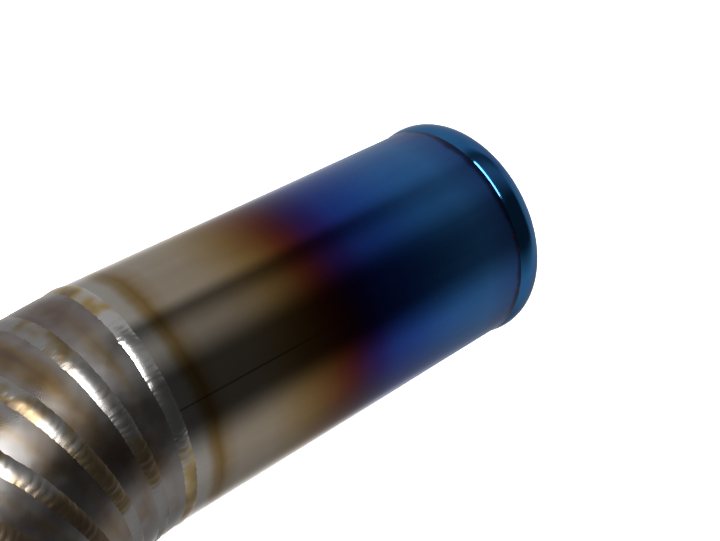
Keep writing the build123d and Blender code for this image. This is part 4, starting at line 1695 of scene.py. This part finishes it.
@dataclass
class Studio:
    """Pale floor, soft lights, the surround that the metal reflects, and the camera.

    The three values with seen in their names are the outlet as the camera sees it: right, down and
    ahead. The first is the end of the straight tube, in tube radii, and the others are directions.
    """

    tail: TailGeometry
    lens: float = 61.55
    sensor: float = 36.0
    nearest: float = 0.01
    end_seen_in_radii: tuple[float, float, float] = (0.72083, -0.32764, 11.32245)
    along_seen: tuple[float, float, float] = (0.7339, -0.38857, 0.55712)
    facing_seen: tuple[float, float, float] = (0.48987, -0.26539, -0.83042)
    floor_size: float = 3.2
    backdrop: float = 1.0
    far_wall: float = 0.34
    far_wall_starts: float = 0.78
    far_wall_full: float = 0.93
    softbox_facing: float = 0.85
    softbox_can_side: float = 0.40
    softbox_behind: float = 0.30
    softbox_distance: float = 0.8
    softbox_size: tuple[float, float] = (0.56, 0.24)
    softbox_power: float = 4.5
    ceiling_height: float = 2.2
    ceiling_size: tuple[float, float] = (3.0, 3.0)
    ceiling_power: float = 190.0

    def floor(self) -> None:
        """Lays the pale floor under the muffler."""
        low = CAD_BOX[0].z
        half = self.floor_size / 2
        mesh = bpy.data.meshes.new("studio_floor")
        corners = [(-half, -half, low), (half, -half, low), (half, half, low), (-half, half, low)]
        mesh.from_pydata(corners, [], [(0, 1, 2, 3)])
        floor = new_piece("studio_floor", mesh)
        g = Graph("pale_floor")
        speck = g.noise(g.mapped((1, 1, 1)), 3.0, 2.0)
        g.set("Base Color", g.ramp(speck, [(0.0, (0.90, 0.90, 0.90)), (1.0, (0.93, 0.93, 0.93))]))
        g.set("Roughness", 0.9)
        g.set("Specular IOR Level", 0.1)
        floor.data.materials.append(g.material)
        floor.visible_glossy = False

    def light(self, name: str, place: Vector, target: Vector, across: Vector,
              size: tuple[float, float], power: float, glossy: bool = True) -> None:
        """Hangs one soft rectangular light.

        Args:
            name: the light's name.
            place: where it hangs.
            target: what it points at.
            across: the direction that its width runs in.
            size: its width and height.
            power: its power in watts.
            glossy: whether it shows in reflections.
        """
        data = bpy.data.lights.new(name, "AREA")
        data.shape = "RECTANGLE"
        data.size, data.size_y = size
        data.energy = power
        lamp = bpy.data.objects.new(name, data)
        bpy.context.scene.collection.objects.link(lamp)
        back = (place - target).normalized()
        wide = (across - back * across.dot(back)).normalized()
        tall = back.cross(wide)
        lamp.matrix_world = placed(wide, tall, back, place)
        lamp.visible_camera = False
        lamp.visible_glossy = glossy

    def surround(self) -> list[tuple[float, float]]:
        """Lays out the studio round the outlet.

        A pale table lies behind, a pale wall stands on each side, and a dark drape hangs in front with
        a pale panel beside it. The dark bands along the polished tube are this drape and the gap
        beside the panel.

        Returns:
            Pairs of an angle in degrees and a brightness. Angles count from the outlet's facing
            direction, negative ones on the can's side.
        """
        table, wall, panel, gap, drape = 1.0, 0.40, 0.25, 0.08, 0.03
        return [
            (-180, table), (-135, wall), (-65, wall), (-50, gap), (-28, panel),
            (2, drape), (45, drape), (85, wall), (135, panel), (180, table),
        ]

    def world(self, end: Axle) -> None:
        """Hangs the surround in the world, in bands that run along the outlet.

        The metal reflects the surround. The camera sees a plain backdrop in its place.

        Args:
            end: the outlet's axis.
        """
        g = WorldGraph("studio_world")
        facing, across = self.tail.view_axes()
        angle = g.math("ARCTAN2", g.toward(across), g.toward(facing))
        stops = [((degrees + 180) / 360, (level, level, level)) for degrees, level in self.surround()]
        bands = g.ramp(g.spread(angle, -math.pi, math.pi), stops, True)
        far = g.spread(g.toward(end.along), self.far_wall_starts, self.far_wall_full, smooth=True)
        walls = g.blend(far, bands, (self.far_wall,) * 3)
        seen = g.blend(g.camera_ray(), walls, (self.backdrop,) * 3)
        g.link(seen, g.tree.nodes["Background"].inputs["Color"])
        bpy.context.scene.world = g.world

    def build(self) -> None:
        """Sets up the floor, lights, world and camera."""
        self.floor()
        end = self.tail.outlet_end()
        facing, across = self.tail.view_axes()
        way = (facing * self.softbox_facing - across * self.softbox_can_side
               - end.along * self.softbox_behind)
        softbox = end.origin + way.normalized() * self.softbox_distance
        self.light("tail_softbox", softbox, end.origin, across, self.softbox_size, self.softbox_power)
        self.light("ceiling_fill", end.origin + UP * self.ceiling_height, end.origin, end.along,
                   self.ceiling_size, self.ceiling_power, False)
        self.world(end)
        scene = bpy.context.scene
        scene.view_settings.view_transform = "Standard"
        scene.view_settings.look = "None"
        self.camera(end)
        LOG.info("studio: floor, two lights, surround and camera")

    def camera(self, end: Axle) -> None:
        """Places the camera, looking down on the outlet from behind it.

        Args:
            end: the outlet's axis, with its origin at the end of the straight tube.
        """
        data = bpy.data.cameras.new("camera")
        data.sensor_width = self.sensor
        data.lens = self.lens
        data.clip_start = self.nearest
        camera = bpy.data.objects.new("camera", data)
        bpy.context.scene.collection.objects.link(camera)
        right, down, ahead = self.camera_axes(end)
        seen = Vector(self.end_seen_in_radii) * self.tail.radius
        place = end.origin - right * seen.x - down * seen.y - ahead * seen.z
        camera.matrix_world = placed(right, -down, -ahead, place)
        bpy.context.scene.camera = camera

    def camera_axes(self, end: Axle) -> list[Vector]:
        """Works out how the camera is turned.

        Args:
            end: the outlet's axis.

        Returns:
            The camera's right, down and ahead directions.
        """
        along_seen = Vector(self.along_seen).normalized()
        facing_seen = Vector(self.facing_seen)
        facing_seen = (facing_seen - along_seen * facing_seen.dot(along_seen)).normalized()
        seen = Matrix((along_seen, facing_seen, along_seen.cross(facing_seen))).transposed()
        real = Matrix((end.along, *self.tail.view_axes())).transposed()
        turn = real @ seen.inverted()
        return [turn.col[k].normalized() for k in range(3)]


def dress_cad_nodes(finishes: Finishes) -> None:
    """Gives each CAD node that stays in view its finish.

    Args:
        finishes: the shared finishes.
    """
    by_slot = {
        "titanium_blued": finishes.blued,
        "titanium_tube": finishes.sleeve,
        "titanium_weld": finishes.bead,
        "can_titanium": finishes.can,
        "inner_steel": finishes.steel,
        "plated_fastener": finishes.zinc,
        "strap_steel": finishes.strap,
        "baffle_steel": finishes.sooted,
        "rubber_black": finishes.rubber,
        "graphite": finishes.graphite,
        "wool": finishes.wool,
        "fibre": finishes.fibre,
    }
    for row in frame["record"]["subparts"]:
        node = frame["nodes"][row["node"]]
        node.data.materials.clear()
        node.data.materials.append(by_slot[row["material_slot"]])
        LOG.info("%s: dressed as %s", row["node"], row["material_slot"])


def main() -> None:
    """Builds every sub-assembly and sets the studio."""
    logging.basicConfig(level=logging.INFO, format="%(name)s: %(message)s")
    finishes = Finishes()
    tail = TailGeometry()
    beads = BeadNodes()
    dress_cad_nodes(finishes)
    OutletPipe(tail).build(finishes)
    PieCutBend(tail, beads).build(finishes)
    CanAndCones(tail, beads).build(finishes)
    threads = ThreadNodes()
    for name in ("clamp", "strap"):
        BoltSet(name, threads).build(finishes)
    HangerBush().build(finishes)
    Studio(tail).build()


if __name__ == "__main__":
    main()
